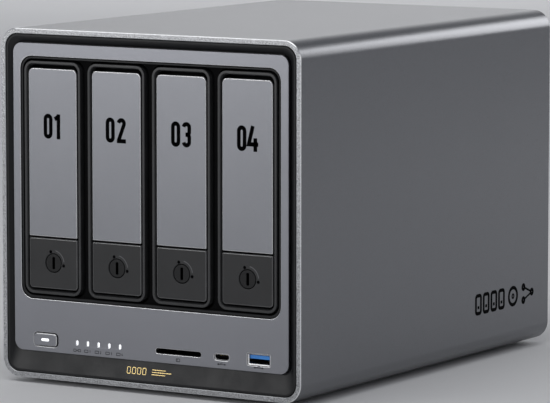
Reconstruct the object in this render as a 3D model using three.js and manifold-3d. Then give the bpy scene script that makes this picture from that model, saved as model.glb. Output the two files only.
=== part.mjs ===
// Four-bay network storage enclosure: an aluminium sleeve around a drive cage with four
// pull-out trays, a control strip, a mainboard below the bays and a fan behind them.
// Millimetres, +Z up. Origin: centre of the footprint, on the surface the feet stand on.
// The front faces -Y, and +X is to the right of a person looking at the front.

import * as THREE from 'three';
import { mergeVertices } from 'three/addons/utils/BufferGeometryUtils.js';
import { ConvexGeometry } from 'three/addons/geometries/ConvexGeometry.js';
import Module from 'manifold-3d';

const wasm = await Module();
wasm.setup();

// ---------------------------------------------------------------- driving dimensions

const SLEEVE = { width: 178, height: 178, depth: 257, wall: 2.7, radius: 9.7, chamfer: 0.45 };
const FOOT = { height: 2.5, radius: 10, x: 64, y: 98 };
const GAP = 0.3; // clearance between neighbouring pieces
const PAST = 1; // how far a cutting tool runs past the face that it cuts

const FRONT = -SLEEVE.depth / 2;
const BACK = SLEEVE.depth / 2;
const BOTTOM = FOOT.height;
const TOP = BOTTOM + SLEEVE.height;
const INNER_X = SLEEVE.width / 2 - SLEEVE.wall;
const INNER_BOTTOM = BOTTOM + SLEEVE.wall;
const INNER_TOP = TOP - SLEEVE.wall;
const INTERIOR = -110; // a plane behind every piece of the front panel

const FRAME = { front: FRONT + 0.3, back: -117, seat: -121.3, lip: 1.2, slopeDepth: 2.1, radius: 7 };
const FACEPLATE = {
  front: FRONT + 0.4, thickness: 2.5, halfWidth: 81.8, bottom: 16.5, top: 173.25, radius: 5,
};
const FACEPLATE_BACK = FACEPLATE.front + FACEPLATE.thickness;
const BAY_WINDOW = { halfWidth: 77.3, bottom: 43.4, top: 166.65, radius: 6.5 };
const CONTROL_Z = 22.6; // centre line of the buttons, lights and sockets
const CONTROL_WINDOW = { halfWidth: 78, bottom: 18.5, top: 36.5, radius: 3 };

const BAY_COUNT = 4;
const BAY_PITCH = 38.6;
const TRAY = {
  width: 34.2, bottom: 46.1, top: 164.3, radius: 5, front: FRONT + 0.4, bezelDepth: 8.1, end: 33,
};
const TRAY_GAP = 1; // dark gap all round a tray front
const RIM = 2.1; // wall of the tray bezel
const POCKET_BACK = -121.6; // floor of the tray bezel's recess
const PANEL = { halfWidth: 14.65, bottom: 49.85, top: 160.65, radius: 2.8, front: FRONT + 0.75 };
const SPLIT = { latchTop: 74.5, handleBottom: 75.4 };
const PIVOT = { y: -124.4, z: 157.2, radius: 1.1 };
const LOCK = { z: 62.1, radius: 4.65, bossRadius: 5.8, bossBack: -118.8, back: -118.5, camReach: 7.4 };
const RAIL = { halfWidth: 15, thickness: 4.5, runner: 3, webOuter: 16.6 };
const DRIVE = { bottom: 53.9, top: 156.5 };

const CAGE = { front: -118.6, back: 40, floor: 43.6, roof: 167, sheet: 1.2, halfWidth: 78.6, deck: 2 };
const BACKPLANE = { front: 42.6, thickness: 1.6 };
const BASE = { bottom: 6, thickness: 1.2, boardZ: 14 };
const BOARD = 1.6; // thickness of every circuit board
const FAN = { z: 104, size: 140, front: 99.5, back: 124.5, bore: 67, hub: 22, blades: 9 };
const REAR = { front: 124.8, back: 126 };
const HATCH = { x: 50, front: -40, back: 50, rebate: 1.4, ledge: 4 };

const trayCentres = Array.from({ length: BAY_COUNT }, (_, i) => (i - (BAY_COUNT - 1) / 2) * BAY_PITCH);

// ---------------------------------------------------------------- finishes

const finish = (color, roughness, metalness = 0) => () =>
  new THREE.MeshStandardMaterial({ color, roughness, metalness });
const aluminium = finish('#8b8d92', 0.42, 1);
const panelAluminium = finish('#a3a5aa', 0.36, 1);
const steel = finish('#9a9da1', 0.35, 1);
const blackPlastic = finish('#1d1e20', 0.55);
const darkPlastic = finish('#2f3032', 0.5);
const boardGreen = finish('#12301f', 0.5);
const rubber = finish('#151515', 0.9);
const nickel = finish('#c9c9c6', 0.25, 1);
const lens = finish('#f3f5f7', 0.3);
const fanBlack = finish('#26272a', 0.6);

// ---------------------------------------------------------------- solids

function toSolid(geometry) {
  const bare = geometry.index ? geometry.toNonIndexed() : geometry.clone();
  bare.deleteAttribute('normal');
  bare.deleteAttribute('uv');
  const merged = mergeVertices(bare, 1e-4);
  return new wasm.Manifold(new wasm.Mesh({
    numProp: 3,
    vertProperties: new Float32Array(merged.attributes.position.array),
    triVerts: new Uint32Array(merged.index.array),
  }));
}

function toGeometry(solid) {
  const mesh = solid.getMesh();
  const geometry = new THREE.BufferGeometry();
  geometry.setAttribute('position', new THREE.BufferAttribute(new Float32Array(mesh.vertProperties), 3));
  geometry.setIndex(new THREE.BufferAttribute(new Uint32Array(mesh.triVerts), 1));
  const flat = geometry.toNonIndexed();
  flat.computeVertexNormals();
  return flat;
}

const join = (...solids) => solids.reduce((sum, solid) => sum.add(solid));
const cut = (body, ...tools) => tools.reduce((left, tool) => left.subtract(tool), body);

function block([x0, x1], [y0, y1], [z0, z1]) {
  const geometry = new THREE.BoxGeometry(x1 - x0, y1 - y0, z1 - z0);
  geometry.translate((x0 + x1) / 2, (y0 + y1) / 2, (z0 + z1) / 2);
  return toSolid(geometry);
}

// A rectangle with four round corners; radius may be one number or [bottom corners, top corners].
function roundedRect([x0, x1], [y0, y1], radius) {
  const [low, high] = Array.isArray(radius) ? radius : [radius, radius];
  const shape = new THREE.Shape();
  shape.moveTo(x0 + low, y0);
  shape.lineTo(x1 - low, y0);
  shape.absarc(x1 - low, y0 + low, low, -Math.PI / 2, 0);
  shape.lineTo(x1, y1 - high);
  shape.absarc(x1 - high, y1 - high, high, 0, Math.PI / 2);
  shape.lineTo(x0 + high, y1);
  shape.absarc(x0 + high, y1 - high, high, Math.PI / 2, Math.PI);
  shape.lineTo(x0, y0 + low);
  shape.absarc(x0 + low, y0 + low, low, Math.PI, Math.PI * 1.5);
  return shape;
}

const CORNER_STEPS = 3; // each quarter circle is drawn with twice as many edges

// Extrudes an outline drawn in X and Z from y0 to y1.
function slabY(shape, [y0, y1], steps = CORNER_STEPS) {
  const depth = y1 - y0;
  const geometry = new THREE.ExtrudeGeometry(shape, { depth, bevelEnabled: false, curveSegments: steps });
  geometry.rotateX(Math.PI / 2);
  geometry.translate(0, y1, 0);
  return toSolid(geometry);
}

function roundY(xs, ys, zs, radius, steps) {
  return slabY(roundedRect(xs, zs, radius), ys, steps);
}

function rodY(x, z, radius, [y0, y1], sides = 24) {
  const geometry = new THREE.CylinderGeometry(radius, radius, y1 - y0, sides);
  geometry.translate(x, (y0 + y1) / 2, z);
  return toSolid(geometry);
}

function rodX(y, z, radius, [x0, x1], sides = 12) {
  const geometry = new THREE.CylinderGeometry(radius, radius, x1 - x0, sides);
  geometry.rotateZ(Math.PI / 2);
  geometry.translate((x0 + x1) / 2, y, z);
  return toSolid(geometry);
}

// A funnel between two rounded rectangles, one at each Y: the space inside a sloping frame.
function funnel(outer, inner) {
  const ring = ({ x, z, radius, y }) =>
    roundedRect([-x, x], z, radius).getPoints(CORNER_STEPS).map((p) => new THREE.Vector3(p.x, y, p.y));
  return toSolid(new ConvexGeometry([...ring(outer), ...ring(inner)]));
}

// A round-cornered hole centred on X = 0, cut from y0 to y1.
function windowCut({ halfWidth, bottom, top, radius }, ys) {
  return roundY([-halfWidth, halfWidth], ys, [bottom, top], radius);
}

const model = new THREE.Group();

function place(name, solid, material, parent = model) {
  const mesh = new THREE.Mesh(solid.isBufferGeometry ? solid : toGeometry(solid), material());
  mesh.name = name;
  parent.add(mesh);
  return mesh;
}

// ---------------------------------------------------------------- case

function outerSleeve() {
  const { width, wall, radius, chamfer, depth } = SLEEVE;
  const half = width / 2;
  const edge = half - chamfer;
  const shape = roundedRect([-edge, edge], [BOTTOM + chamfer, TOP - chamfer], radius - chamfer);
  // the bevel grows inwards at the hole too, so the hole is drawn that much wider
  const hollow = wall - chamfer;
  const hollowXs = [hollow - half, half - hollow];
  shape.holes.push(roundedRect(hollowXs, [BOTTOM + hollow, TOP - hollow], radius - hollow));
  const geometry = new THREE.ExtrudeGeometry(shape, {
    depth: depth - 2 * chamfer,
    bevelEnabled: true,
    bevelSegments: 1,
    bevelSize: chamfer,
    bevelThickness: chamfer,
    curveSegments: 4,
  });
  geometry.rotateX(Math.PI / 2);
  geometry.translate(0, depth / 2 - chamfer, 0);
  const hatchHole = block(
    [-HATCH.x + HATCH.ledge, HATCH.x - HATCH.ledge],
    [HATCH.front + HATCH.ledge, HATCH.back - HATCH.ledge],
    [0, INNER_BOTTOM + PAST],
  );
  const rebate = block([-HATCH.x, HATCH.x], [HATCH.front, HATCH.back], [0, BOTTOM + HATCH.rebate]);
  return cut(toSolid(geometry), hatchHole, rebate);
}

const COVER_SLOTS = { count: 7, pitch: 11, halfLength: 32, width: 2.4 };

function baseCover() {
  const top = BOTTOM + HATCH.rebate - 0.2;
  const plate = block([-HATCH.x + GAP, HATCH.x - GAP], [HATCH.front + GAP, HATCH.back - GAP], [BOTTOM, top]);
  const { count, pitch, halfLength, width } = COVER_SLOTS;
  const middle = (HATCH.front + HATCH.back) / 2;
  const slots = Array.from({ length: count }, (_, row) => {
    const y = middle + (row - (count - 1) / 2) * pitch;
    return block([-halfLength, halfLength], [y - width / 2, y + width / 2], [0, top + PAST]);
  });
  return cut(plate, ...slots);
}

function foot(x, y) {
  const { radius, height } = FOOT;
  const profile = [
    new THREE.Vector2(0, 0),
    new THREE.Vector2(radius - 1.2, 0),
    new THREE.Vector2(radius - 0.4, 0.5),
    new THREE.Vector2(radius, height),
    new THREE.Vector2(0, height),
  ];
  const geometry = new THREE.LatheGeometry(profile, 20);
  geometry.rotateX(Math.PI / 2);
  geometry.translate(x, y, 0);
  return toSolid(geometry);
}

function frontFrame() {
  const { front, back, seat, lip, slopeDepth, radius } = FRAME;
  const halfWidth = INNER_X - GAP;
  const bottom = INNER_BOTTOM + GAP;
  const top = INNER_TOP - GAP;
  const pocket = {
    x: FACEPLATE.halfWidth + GAP,
    z: [FACEPLATE.bottom - GAP, FACEPLATE.top + GAP],
    radius: FACEPLATE.radius + GAP,
  };
  const mouth = { x: halfWidth - lip, z: [bottom + lip, top - lip], radius: radius - lip };
  // the slope runs on past the front face by the same fall, so that it cuts through cleanly
  const over = 0.25;
  const grow = (outer, inner) => outer + (outer - inner) * over;
  const outer = {
    x: grow(mouth.x, pocket.x),
    z: [grow(mouth.z[0], pocket.z[0]), grow(mouth.z[1], pocket.z[1])],
    radius: grow(mouth.radius, pocket.radius),
    y: front - slopeDepth * over,
  };
  const inner = { ...pocket, y: front + slopeDepth };
  const through = [FRONT, INTERIOR];
  // room behind the window for the flange of the bay surround and the ends of the drive cage
  const backRoom = { halfWidth: 83, bottom: 8.5, top: 174.5, radius: 5 };
  return cut(
    roundY([-halfWidth, halfWidth], [front, back], [bottom, top], radius),
    funnel(outer, inner),
    roundY([-pocket.x, pocket.x], [FRONT - PAST, FACEPLATE_BACK + GAP], pocket.z, pocket.radius),
    windowCut(BAY_WINDOW, through),
    windowCut(CONTROL_WINDOW, through),
    windowCut(backRoom, [seat, INTERIOR]),
  );
}

const SOCKETS = {
  power: { x: -62.5, z: 22.75, width: 14.9, height: 7.3, radius: 2.3 },
  lights: { x: -43.4, pitch: 6.5, count: 5, width: 1.3, height: 2.5, radius: 0.6 },
  card: { x: 17.5, z: 22.5, width: 26.8, height: 2.6, radius: 0.9 },
  usbC: { x: 43, z: 22.3, width: 9, height: 3.3, radius: 1.6 },
  usbA: { x: 64.6, z: CONTROL_Z, width: 13.1, height: 5.7, radius: 0.5 },
};

function windowY({ x, z, width, height }, radius, [y0, y1], steps = 2) {
  return roundY([x - width / 2, x + width / 2], [y0, y1], [z - height / 2, z + height / 2], radius, steps);
}

function lightPositions() {
  const { x, pitch, count } = SOCKETS.lights;
  return Array.from({ length: count }, (_, i) => x + i * pitch);
}

function faceplate() {
  const { front, halfWidth, bottom, top, radius } = FACEPLATE;
  const plate = roundY([-halfWidth, halfWidth], [front, FACEPLATE_BACK], [bottom, top], radius);
  const through = [front - PAST, FACEPLATE_BACK + PAST];
  const { power, card, usbC, usbA, lights } = SOCKETS;
  const fit = 0.3; // the shell of this socket passes through the plate
  const usbHole = { ...usbA, width: usbA.width + fit, height: usbA.height + fit };
  return cut(
    plate,
    windowCut(BAY_WINDOW, through),
    windowY(power, power.radius, through, 3),
    windowY(card, card.radius, through, 1),
    windowY(usbC, usbC.radius, through, 3),
    windowY(usbHole, usbA.radius, through, 1),
    ...lightPositions().map((x) => windowY({ ...lights, x, z: CONTROL_Z }, lights.radius, through, 1)),
  );
}

const SURROUND = { front: FRONT + 0.9, webFront: FRONT + 2.6, back: -119, flange: 2, overlap: 2.5 };

function baySurround() {
  const { front, webFront, back, flange, overlap } = SURROUND;
  const { halfWidth, bottom, top, radius } = BAY_WINDOW;
  const collarXs = [GAP - halfWidth, halfWidth - GAP];
  const collar = roundY(collarXs, [front, back], [bottom + GAP, top - GAP], radius - GAP);
  const rim = roundY([-halfWidth - overlap + GAP, halfWidth + overlap - GAP], [back - flange, back],
    [bottom - overlap, top + overlap], radius);
  const zs = [TRAY.bottom - TRAY_GAP, TRAY.top + TRAY_GAP];
  const corner = TRAY.radius + TRAY_GAP / 2;
  const edge = TRAY.width / 2 + TRAY_GAP;
  const openings = trayCentres.map((x) => roundY([x - edge, x + edge], [front - PAST, INTERIOR], zs, corner));
  const outerEdge = trayCentres[BAY_COUNT - 1] + edge;
  const recess = roundY([-outerEdge, outerEdge], [front - PAST, webFront], zs, corner);
  return cut(join(collar, rim), recess, ...openings);
}

// ---------------------------------------------------------------- drive cage

const DECK_X = CAGE.halfWidth - CAGE.sheet - GAP;
const CHANNEL = { inner: RAIL.runner + 0.8, wall: 2, height: 3.2 };

function guideRibs(z0, z1) {
  return trayCentres.flatMap((x) => [-1, 1].map((side) => {
    const near = x + side * CHANNEL.inner;
    const far = x + side * (CHANNEL.inner + CHANNEL.wall);
    return block([Math.min(near, far), Math.max(near, far)], [CAGE.front + 1, CAGE.back - 1], [z0, z1]);
  }));
}

function cageFloor() {
  const top = CAGE.floor + CAGE.deck;
  const deck = block([-DECK_X, DECK_X], [CAGE.front, CAGE.back], [CAGE.floor, top]);
  return join(deck, ...guideRibs(top - 0.1, top + CHANNEL.height));
}

function cageRoof() {
  const bottom = CAGE.roof - CAGE.deck;
  const deck = block([-DECK_X, DECK_X], [CAGE.front, CAGE.back], [bottom, CAGE.roof]);
  return join(deck, ...guideRibs(bottom - CHANNEL.height, bottom + 0.1));
}

const STAMPING = { rows: 3, columns: 4, pitch: 34, width: 24, height: 22, front: -103, bottom: 60 };

// A grid of square cutting tools that reach over xs, for an upright sheet seen edge on along X.
function squareGrid(xs, { rows, columns, pitch, width, height, front, bottom }) {
  const windows = [];
  for (let row = 0; row < rows; row += 1) {
    for (let column = 0; column < columns; column += 1) {
      const y = front + column * pitch;
      const z = bottom + row * pitch;
      windows.push(block(xs, [y, y + width], [z, z + height]));
    }
  }
  return windows;
}

function cageSheet(xs, ys, zs) {
  const [x0, x1] = xs;
  return cut(block(xs, ys, zs), ...squareGrid([x0 - PAST, x1 + PAST], STAMPING));
}

function cageSide(side) {
  const outer = side * CAGE.halfWidth;
  const inner = side * (CAGE.halfWidth - CAGE.sheet);
  const xs = [Math.min(outer, inner), Math.max(outer, inner)];
  return cageSheet(xs, [CAGE.front + 2, CAGE.back], [BASE.bottom + BASE.thickness + 0.2, CAGE.roof]);
}

function cageDivider(x) {
  const half = 0.5;
  const clear = 0.2;
  return cageSheet([x - half, x + half], [CAGE.front + half, CAGE.back - half],
    [CAGE.floor + CAGE.deck + clear, CAGE.roof - CAGE.deck - clear]);
}

// ---------------------------------------------------------------- electronics

// The board behind the drives, with a tongue that reaches down to the mainboard, and air holes.
function backplaneBoard() {
  const { front, thickness } = BACKPLANE;
  const ys = [front, front + thickness];
  const through = [front - PAST, front + thickness + PAST];
  const tongueHalfWidth = 30;
  const board = join(
    block([-76.8, 76.8], ys, [46.5, 164]),
    block([-tongueHalfWidth, tongueHalfWidth], ys, [20, 47]),
  );
  const airHole = (x, halfWidth, z, height) =>
    block([x - halfWidth, x + halfWidth], through, [z, z + height]);
  const airHoles = trayCentres.flatMap((x) => [
    airHole(x, 11, 108, 22),
    airHole(x, 11, 134, 22),
    airHole(x + 10, 3, 56, 21),
    airHole(x + 10, 3, 81, 21),
  ]);
  return cut(board, ...airHoles);
}

const CONNECTOR = { front: 34.6, left: 4, right: 2.6, bottom: 58, top: 100, slotDepth: 5.5, wall: 2 };

function sataConnector(x) {
  const { front, left, right, bottom, top, slotDepth, wall } = CONNECTOR;
  const body = block([x - left, x + right], [front, BACKPLANE.front - 0.1], [bottom, top]);
  const slotXs = [x - left + 1.6, x + right - 2.4];
  return cut(body, block(slotXs, [front - PAST, front + slotDepth], [bottom + wall, top - wall]));
}

function mainboard() {
  return block([-75, 75], [-60, 123.8], [BASE.boardZ, BASE.boardZ + BOARD]);
}

const HEATSINK = { x: [-34, 28], y: [50, 96], top: 33, fins: 13, fin: 1.2, plate: 3.5, chip: 1.6 };

function cpuHeatsink() {
  const { x: xs, y: ys, top, fins, fin, plate, chip } = HEATSINK;
  const z0 = BASE.boardZ + BOARD;
  const plateZ = z0 + chip - 0.1;
  const processor = block([-20, 14], [58, 92], [z0, z0 + chip]);
  const pitch = (xs[1] - xs[0] - fin) / (fins - 1);
  const blades = Array.from({ length: fins }, (_, i) => {
    const x = xs[0] + i * pitch;
    return block([x, x + fin], ys, [plateZ + plate - 0.1, top]);
  });
  return join(processor, block(xs, ys, [plateZ, plateZ + plate]), ...blades);
}

function memoryModule() {
  const under = BASE.boardZ;
  const socket = block([-36, 36], [4, 12], [under - 5, under]);
  const board = block([-34.8, 34.8], [-24, 5], [under - 4, under - 2.8]);
  const chips = [-26, -9, 9, 26].map((x) => block([x - 6, x + 6], [-20, -6], [under - 5, under - 3.9]));
  return join(socket, board, ...chips);
}

function chassisBase() {
  const { bottom, thickness, boardZ } = BASE;
  const top = bottom + thickness;
  const pan = block([-80.5, 80.5], [-114, 123], [bottom, top]);
  const window = block(
    [-HATCH.x + HATCH.ledge, HATCH.x - HATCH.ledge],
    [HATCH.front + HATCH.ledge, HATCH.back - HATCH.ledge],
    [bottom - PAST, top + PAST],
  );
  const posts = [[-70, -54], [70, -54], [-70, 60], [70, 60]].map(([x, y]) => {
    const geometry = new THREE.CylinderGeometry(3, 3, boardZ - top + 0.1, 12);
    geometry.rotateX(Math.PI / 2);
    geometry.translate(x, y, (boardZ + top - 0.1) / 2);
    return toSolid(geometry);
  });
  return join(cut(pan, window), ...posts);
}

const IO_BOARD = { top: 19, front: -120.8, back: -92, halfWidth: 76 };

function frontIoBoard() {
  const { top, front, back, halfWidth } = IO_BOARD;
  const floor = BASE.bottom + BASE.thickness;
  const posts = [-60, 60].map((x) => block([x - 3, x + 3], [-100, -94], [floor, top - BOARD + 0.1]));
  return join(block([-halfWidth, halfWidth], [front, back], [top - BOARD, top]), ...posts);
}

function cardReader() {
  const { x, z, width } = SOCKETS.card;
  const front = FACEPLATE_BACK + 0.4;
  const halfSlot = 12.4; // a full-size card is 24 mm wide
  const body = block([x - width / 2 - 1, x + width / 2 + 1], [front, -97], [IO_BOARD.top, 24.6]);
  const slot = block([x - halfSlot, x + halfSlot], [front - PAST, -101], [z - 1.2, z + 1.2]);
  const boardStep = block([x - width, x + width], [front - PAST, IO_BOARD.front + 0.2], [0, 20.4]);
  return cut(body, slot, boardStep);
}

function usbCPort() {
  const { x, z } = SOCKETS.usbC;
  const front = FACEPLATE.front + 0.5;
  const back = -116;
  const hollowBack = back - 2.5;
  const shell = windowY({ x, z, width: 8.7, height: 3 }, 1.45, [front, back], 2);
  const hollow = windowY({ x, z, width: 8.1, height: 2.4 }, 1.15, [front - PAST, hollowBack], 2);
  const tongue = block([x - 3.3, x + 3.3], [front + 1, hollowBack + 0.1], [z - 0.35, z + 0.35]);
  const stand = block([x - 4.2, x + 4.2], [IO_BOARD.front + 0.2, back], [IO_BOARD.top, z - 1]);
  return join(cut(shell, hollow), tongue, stand);
}

function usbAPort() {
  const { x, z, width, height, radius } = SOCKETS.usbA;
  const wall = 0.4;
  const front = FACEPLATE.front + 0.3;
  const back = -113;
  const inside = { x, z, width: width - 2 * wall, height: height - 2 * wall };
  const shell = windowY(SOCKETS.usbA, radius, [front, back], 1);
  const hollow = windowY(inside, radius - 0.2, [front - PAST, back - 1], 1);
  const tongue = block([x - 5.6, x + 5.6], [front + 0.8, back - 0.9], [z + 0.2, z + 2]);
  const stand = block([x - 5, x + 5], [IO_BOARD.front + 0.2, back], [IO_BOARD.top, z - height / 2 + 0.1]);
  return join(cut(shell, hollow), tongue, stand);
}

// Five clear pins that end flush with the faceplate, moulded on one bar behind it.
function statusLightPipes() {
  const { x: first, width, height, count } = SOCKETS.lights;
  const barFront = FACEPLATE_BACK + 0.6;
  const pin = { z: CONTROL_Z, width: width - 0.2, height: height - 0.2 };
  const pipes = lightPositions().map((x) =>
    windowY({ ...pin, x }, 0.5, [FACEPLATE.front + 0.05, barFront + 0.1], 1));
  const last = lightPositions()[count - 1];
  const bar = block([first - 2, last + 2], [barFront, barFront + 3.5], [CONTROL_Z - 1.8, CONTROL_Z + 1.8]);
  return join(bar, ...pipes);
}

function powerButton() {
  const { x, z, width, height, radius } = SOCKETS.power;
  const front = FRONT - 0.5;
  const flangeFront = FACEPLATE_BACK + 0.4;
  const flangeBack = flangeFront + 1;
  const cap = windowY({ x, z, width: width - 2 * GAP, height: height - 2 * GAP }, radius - GAP,
    [front, flangeFront + 0.2], 3);
  const flange = windowY({ x, z, width: width + 1.5, height: height + 0.6 }, 1, [flangeFront, flangeBack], 1);
  const plunger = rodY(x, z, 1.6, [flangeBack - 0.1, -119.8], 12);
  const lightWay = windowY({ x, z, width: 5.1, height: 1.5 }, 0.7, [front - PAST, front + 2.6], 2);
  return cut(join(cap, flange, plunger), lightWay);
}

// ---------------------------------------------------------------- rear

// The socket row, from left to right as seen from the front; each is a block with its mouths cut in.
const REAR_PORTS = {
  lan: { x: -49, z: 22.6, width: 33, height: 13.6, front: 104 },
  usb: { x: -18, z: 23.6, width: 14.4, height: 15.6, front: 106.5 },
  hdmi: { x: 4, z: 18.9, width: 15.2, height: 6, front: 113 },
  power: { x: 60, z: 21.6, width: 11.4, height: 11.4, front: 110 },
};
const PORT_BACK = REAR.back - 0.2;
const LAN_PITCH = 16.5;

function portBody({ x, z, width, height, front }) {
  return block([x - width / 2, x + width / 2], [front, PORT_BACK], [z - height / 2, z + height / 2]);
}

function lanJacks() {
  const { x: middle, z } = REAR_PORTS.lan;
  const ys = [111, BACK];
  const ways = [-0.5, 0.5].flatMap((step) => {
    const x = middle + step * LAN_PITCH;
    const plugWay = block([x - 5.9, x + 5.9], ys, [z - 3.4, z + 5]);
    const tabWay = block([x - 3, x + 3], ys, [z - 5.4, z - 3.3]);
    return [plugWay, tabWay];
  });
  return cut(portBody(REAR_PORTS.lan), ...ways);
}

// Two sockets, one above the other; the tongue fills the upper half of each mouth.
function rearUsbStack() {
  const { x, z: middle } = REAR_PORTS.usb;
  const xs = [x - 6.3, x + 6.3];
  const mouths = [-3.9, 3.9].flatMap((dz) => {
    const z = middle + dz;
    const plugWay = block(xs, [112, BACK], [z - 2.55, z + 0.35]);
    const mouth = block(xs, [PORT_BACK - 1.2, BACK], [z + 0.3, z + 2.55]);
    return [plugWay, mouth];
  });
  return cut(portBody(REAR_PORTS.usb), ...mouths);
}

function hdmiPort() {
  const { x, z } = REAR_PORTS.hdmi;
  const mouth = block([x - 7, x + 7], [114.5, BACK], [z - 2.2, z + 2.2]);
  const tongue = block([x - 5.2, x + 5.2], [114, PORT_BACK - 1.4], [z - 0.5, z + 0.5]);
  return join(cut(portBody(REAR_PORTS.hdmi), mouth), tongue);
}

function dcInlet() {
  const { x, z } = REAR_PORTS.power;
  const bore = rodY(x, z, 3.8, [112.5, BACK], 24);
  const pin = rodY(x, z, 1.15, [112, PORT_BACK - 1.2], 12);
  return join(cut(portBody(REAR_PORTS.power), bore), pin);
}

const RESET = { x: 30, z: 20.5, radius: 1 };

function resetButton() {
  return rodY(RESET.x, RESET.z, RESET.radius, [REAR.front - 4, REAR.front + 0.3], 12);
}

function rearPanel() {
  const halfWidth = INNER_X - GAP;
  const through = [REAR.front - PAST, REAR.back + PAST];
  const plateZs = [INNER_BOTTOM + GAP, INNER_TOP - GAP];
  const plate = roundY([-halfWidth, halfWidth], [REAR.front, REAR.back], plateZs, FRAME.radius);
  const ways = Object.values(REAR_PORTS).map(({ x, z, width, height }) => block(
    [x - width / 2 - GAP, x + width / 2 + GAP], through,
    [z - height / 2 - GAP, z + height / 2 + GAP],
  ));
  const fanHole = rodY(0, FAN.z, FAN.bore - 1, through, 40);
  const resetHole = rodY(RESET.x, RESET.z, RESET.radius + 0.4, through, 12);
  return cut(plate, fanHole, resetHole, ...ways);
}

const CORNERS = [[-1, -1], [1, -1], [-1, 1], [1, 1]];

function fanFrame() {
  const { front, back, bore, hub } = FAN;
  const half = FAN.size / 2;
  const through = [front - PAST, back + PAST];
  const body = roundY([-half, half], [front, back], [FAN.z - half, FAN.z + half], 6);
  const strut = { thickness: 3, height: 4, from: hub - 5, to: bore + 2 };
  const struts = [0, 1, 2, 3].map((quarter) => {
    const geometry = new THREE.BoxGeometry(strut.to - strut.from, strut.thickness, strut.height);
    geometry.translate((strut.to + strut.from) / 2, front + strut.thickness / 2, 0);
    geometry.rotateY(Math.PI / 4 + (quarter * Math.PI) / 2);
    geometry.translate(0, 0, FAN.z);
    return toSolid(geometry);
  });
  const seat = rodY(0, FAN.z, hub - 1, [front, front + strut.thickness], 32);
  const screw = 62.5; // a 140 mm fan's holes are 125 mm apart
  const holes = CORNERS.map(([sx, sz]) => rodY(sx * screw, FAN.z + sz * screw, 2.2, through, 8));
  return join(cut(body, rodY(0, FAN.z, bore, through, 40), ...holes), seat, ...struts);
}

const BLADE = { arcRadius: 30, halfAngle: 0.36, thickness: 1.6, pitch: 0.62 };

function fanRotor() {
  const front = FAN.front + 3.8;
  const back = FAN.back - 1.2;
  const { arcRadius, halfAngle, thickness, pitch } = BLADE;
  const down = -Math.PI / 2;
  const blades = [];
  for (let i = 0; i < FAN.blades; i += 1) {
    // a thin curved section in the plane of rotation and axis, drawn out radially
    const arc = new THREE.Shape();
    arc.absarc(0, arcRadius, arcRadius + thickness / 2, down - halfAngle, down + halfAngle, false);
    arc.absarc(0, arcRadius, arcRadius - thickness / 2, down + halfAngle, down - halfAngle, true);
    const depth = FAN.bore - FAN.hub;
    const geometry = new THREE.ExtrudeGeometry(arc, { depth, bevelEnabled: false, curveSegments: 2 });
    geometry.rotateZ(pitch);
    geometry.translate(0, 0, FAN.hub - 2);
    geometry.rotateY((i / FAN.blades) * Math.PI * 2);
    geometry.translate(0, (front + back) / 2, FAN.z);
    blades.push(toSolid(geometry));
  }
  const hub = rodY(0, FAN.z, FAN.hub, [front, back], 30);
  const sweep = rodY(0, FAN.z, FAN.bore - 1.6, [front + 0.2, back - 0.2], 40);
  return join(hub, join(...blades).intersect(sweep));
}

const FILTER = {
  front: REAR.back + GAP, back: BACK + 0.5, halfWidth: 74, bottom: 32.5, top: 175.5, radius: 6,
  border: 7, bar: 2.4, columns: 8, rows: 5,
};

function dustFilter() {
  const { front, back, halfWidth, bottom, top, border, bar, columns, rows } = FILTER;
  const width = (2 * (halfWidth - border) - bar * (columns - 1)) / columns;
  const height = (top - bottom - 2 * border - bar * (rows - 1)) / rows;
  const openings = [];
  for (let column = 0; column < columns; column += 1) {
    for (let row = 0; row < rows; row += 1) {
      const x = border - halfWidth + column * (width + bar);
      const z = bottom + border + row * (height + bar);
      openings.push(block([x, x + width], [front - PAST, back + PAST], [z, z + height]));
    }
  }
  return cut(windowCut(FILTER, [front, back]), ...openings);
}

// ---------------------------------------------------------------- drive trays

const POCKET = { bottom: TRAY.bottom + 2, top: TRAY.top - 2, halfWidth: TRAY.width / 2 - RIM };
const AIR_SLOTS = { count: 5, pitch: 13, halfWidth: 11, height: 6.5, bottom: 84 };
const WEB_PANELS = { rows: 3, columns: 4, pitch: 34, width: 24, height: 22, front: -104, bottom: 60 };
const WEB_PANEL_DEPTH = 0.6;

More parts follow.
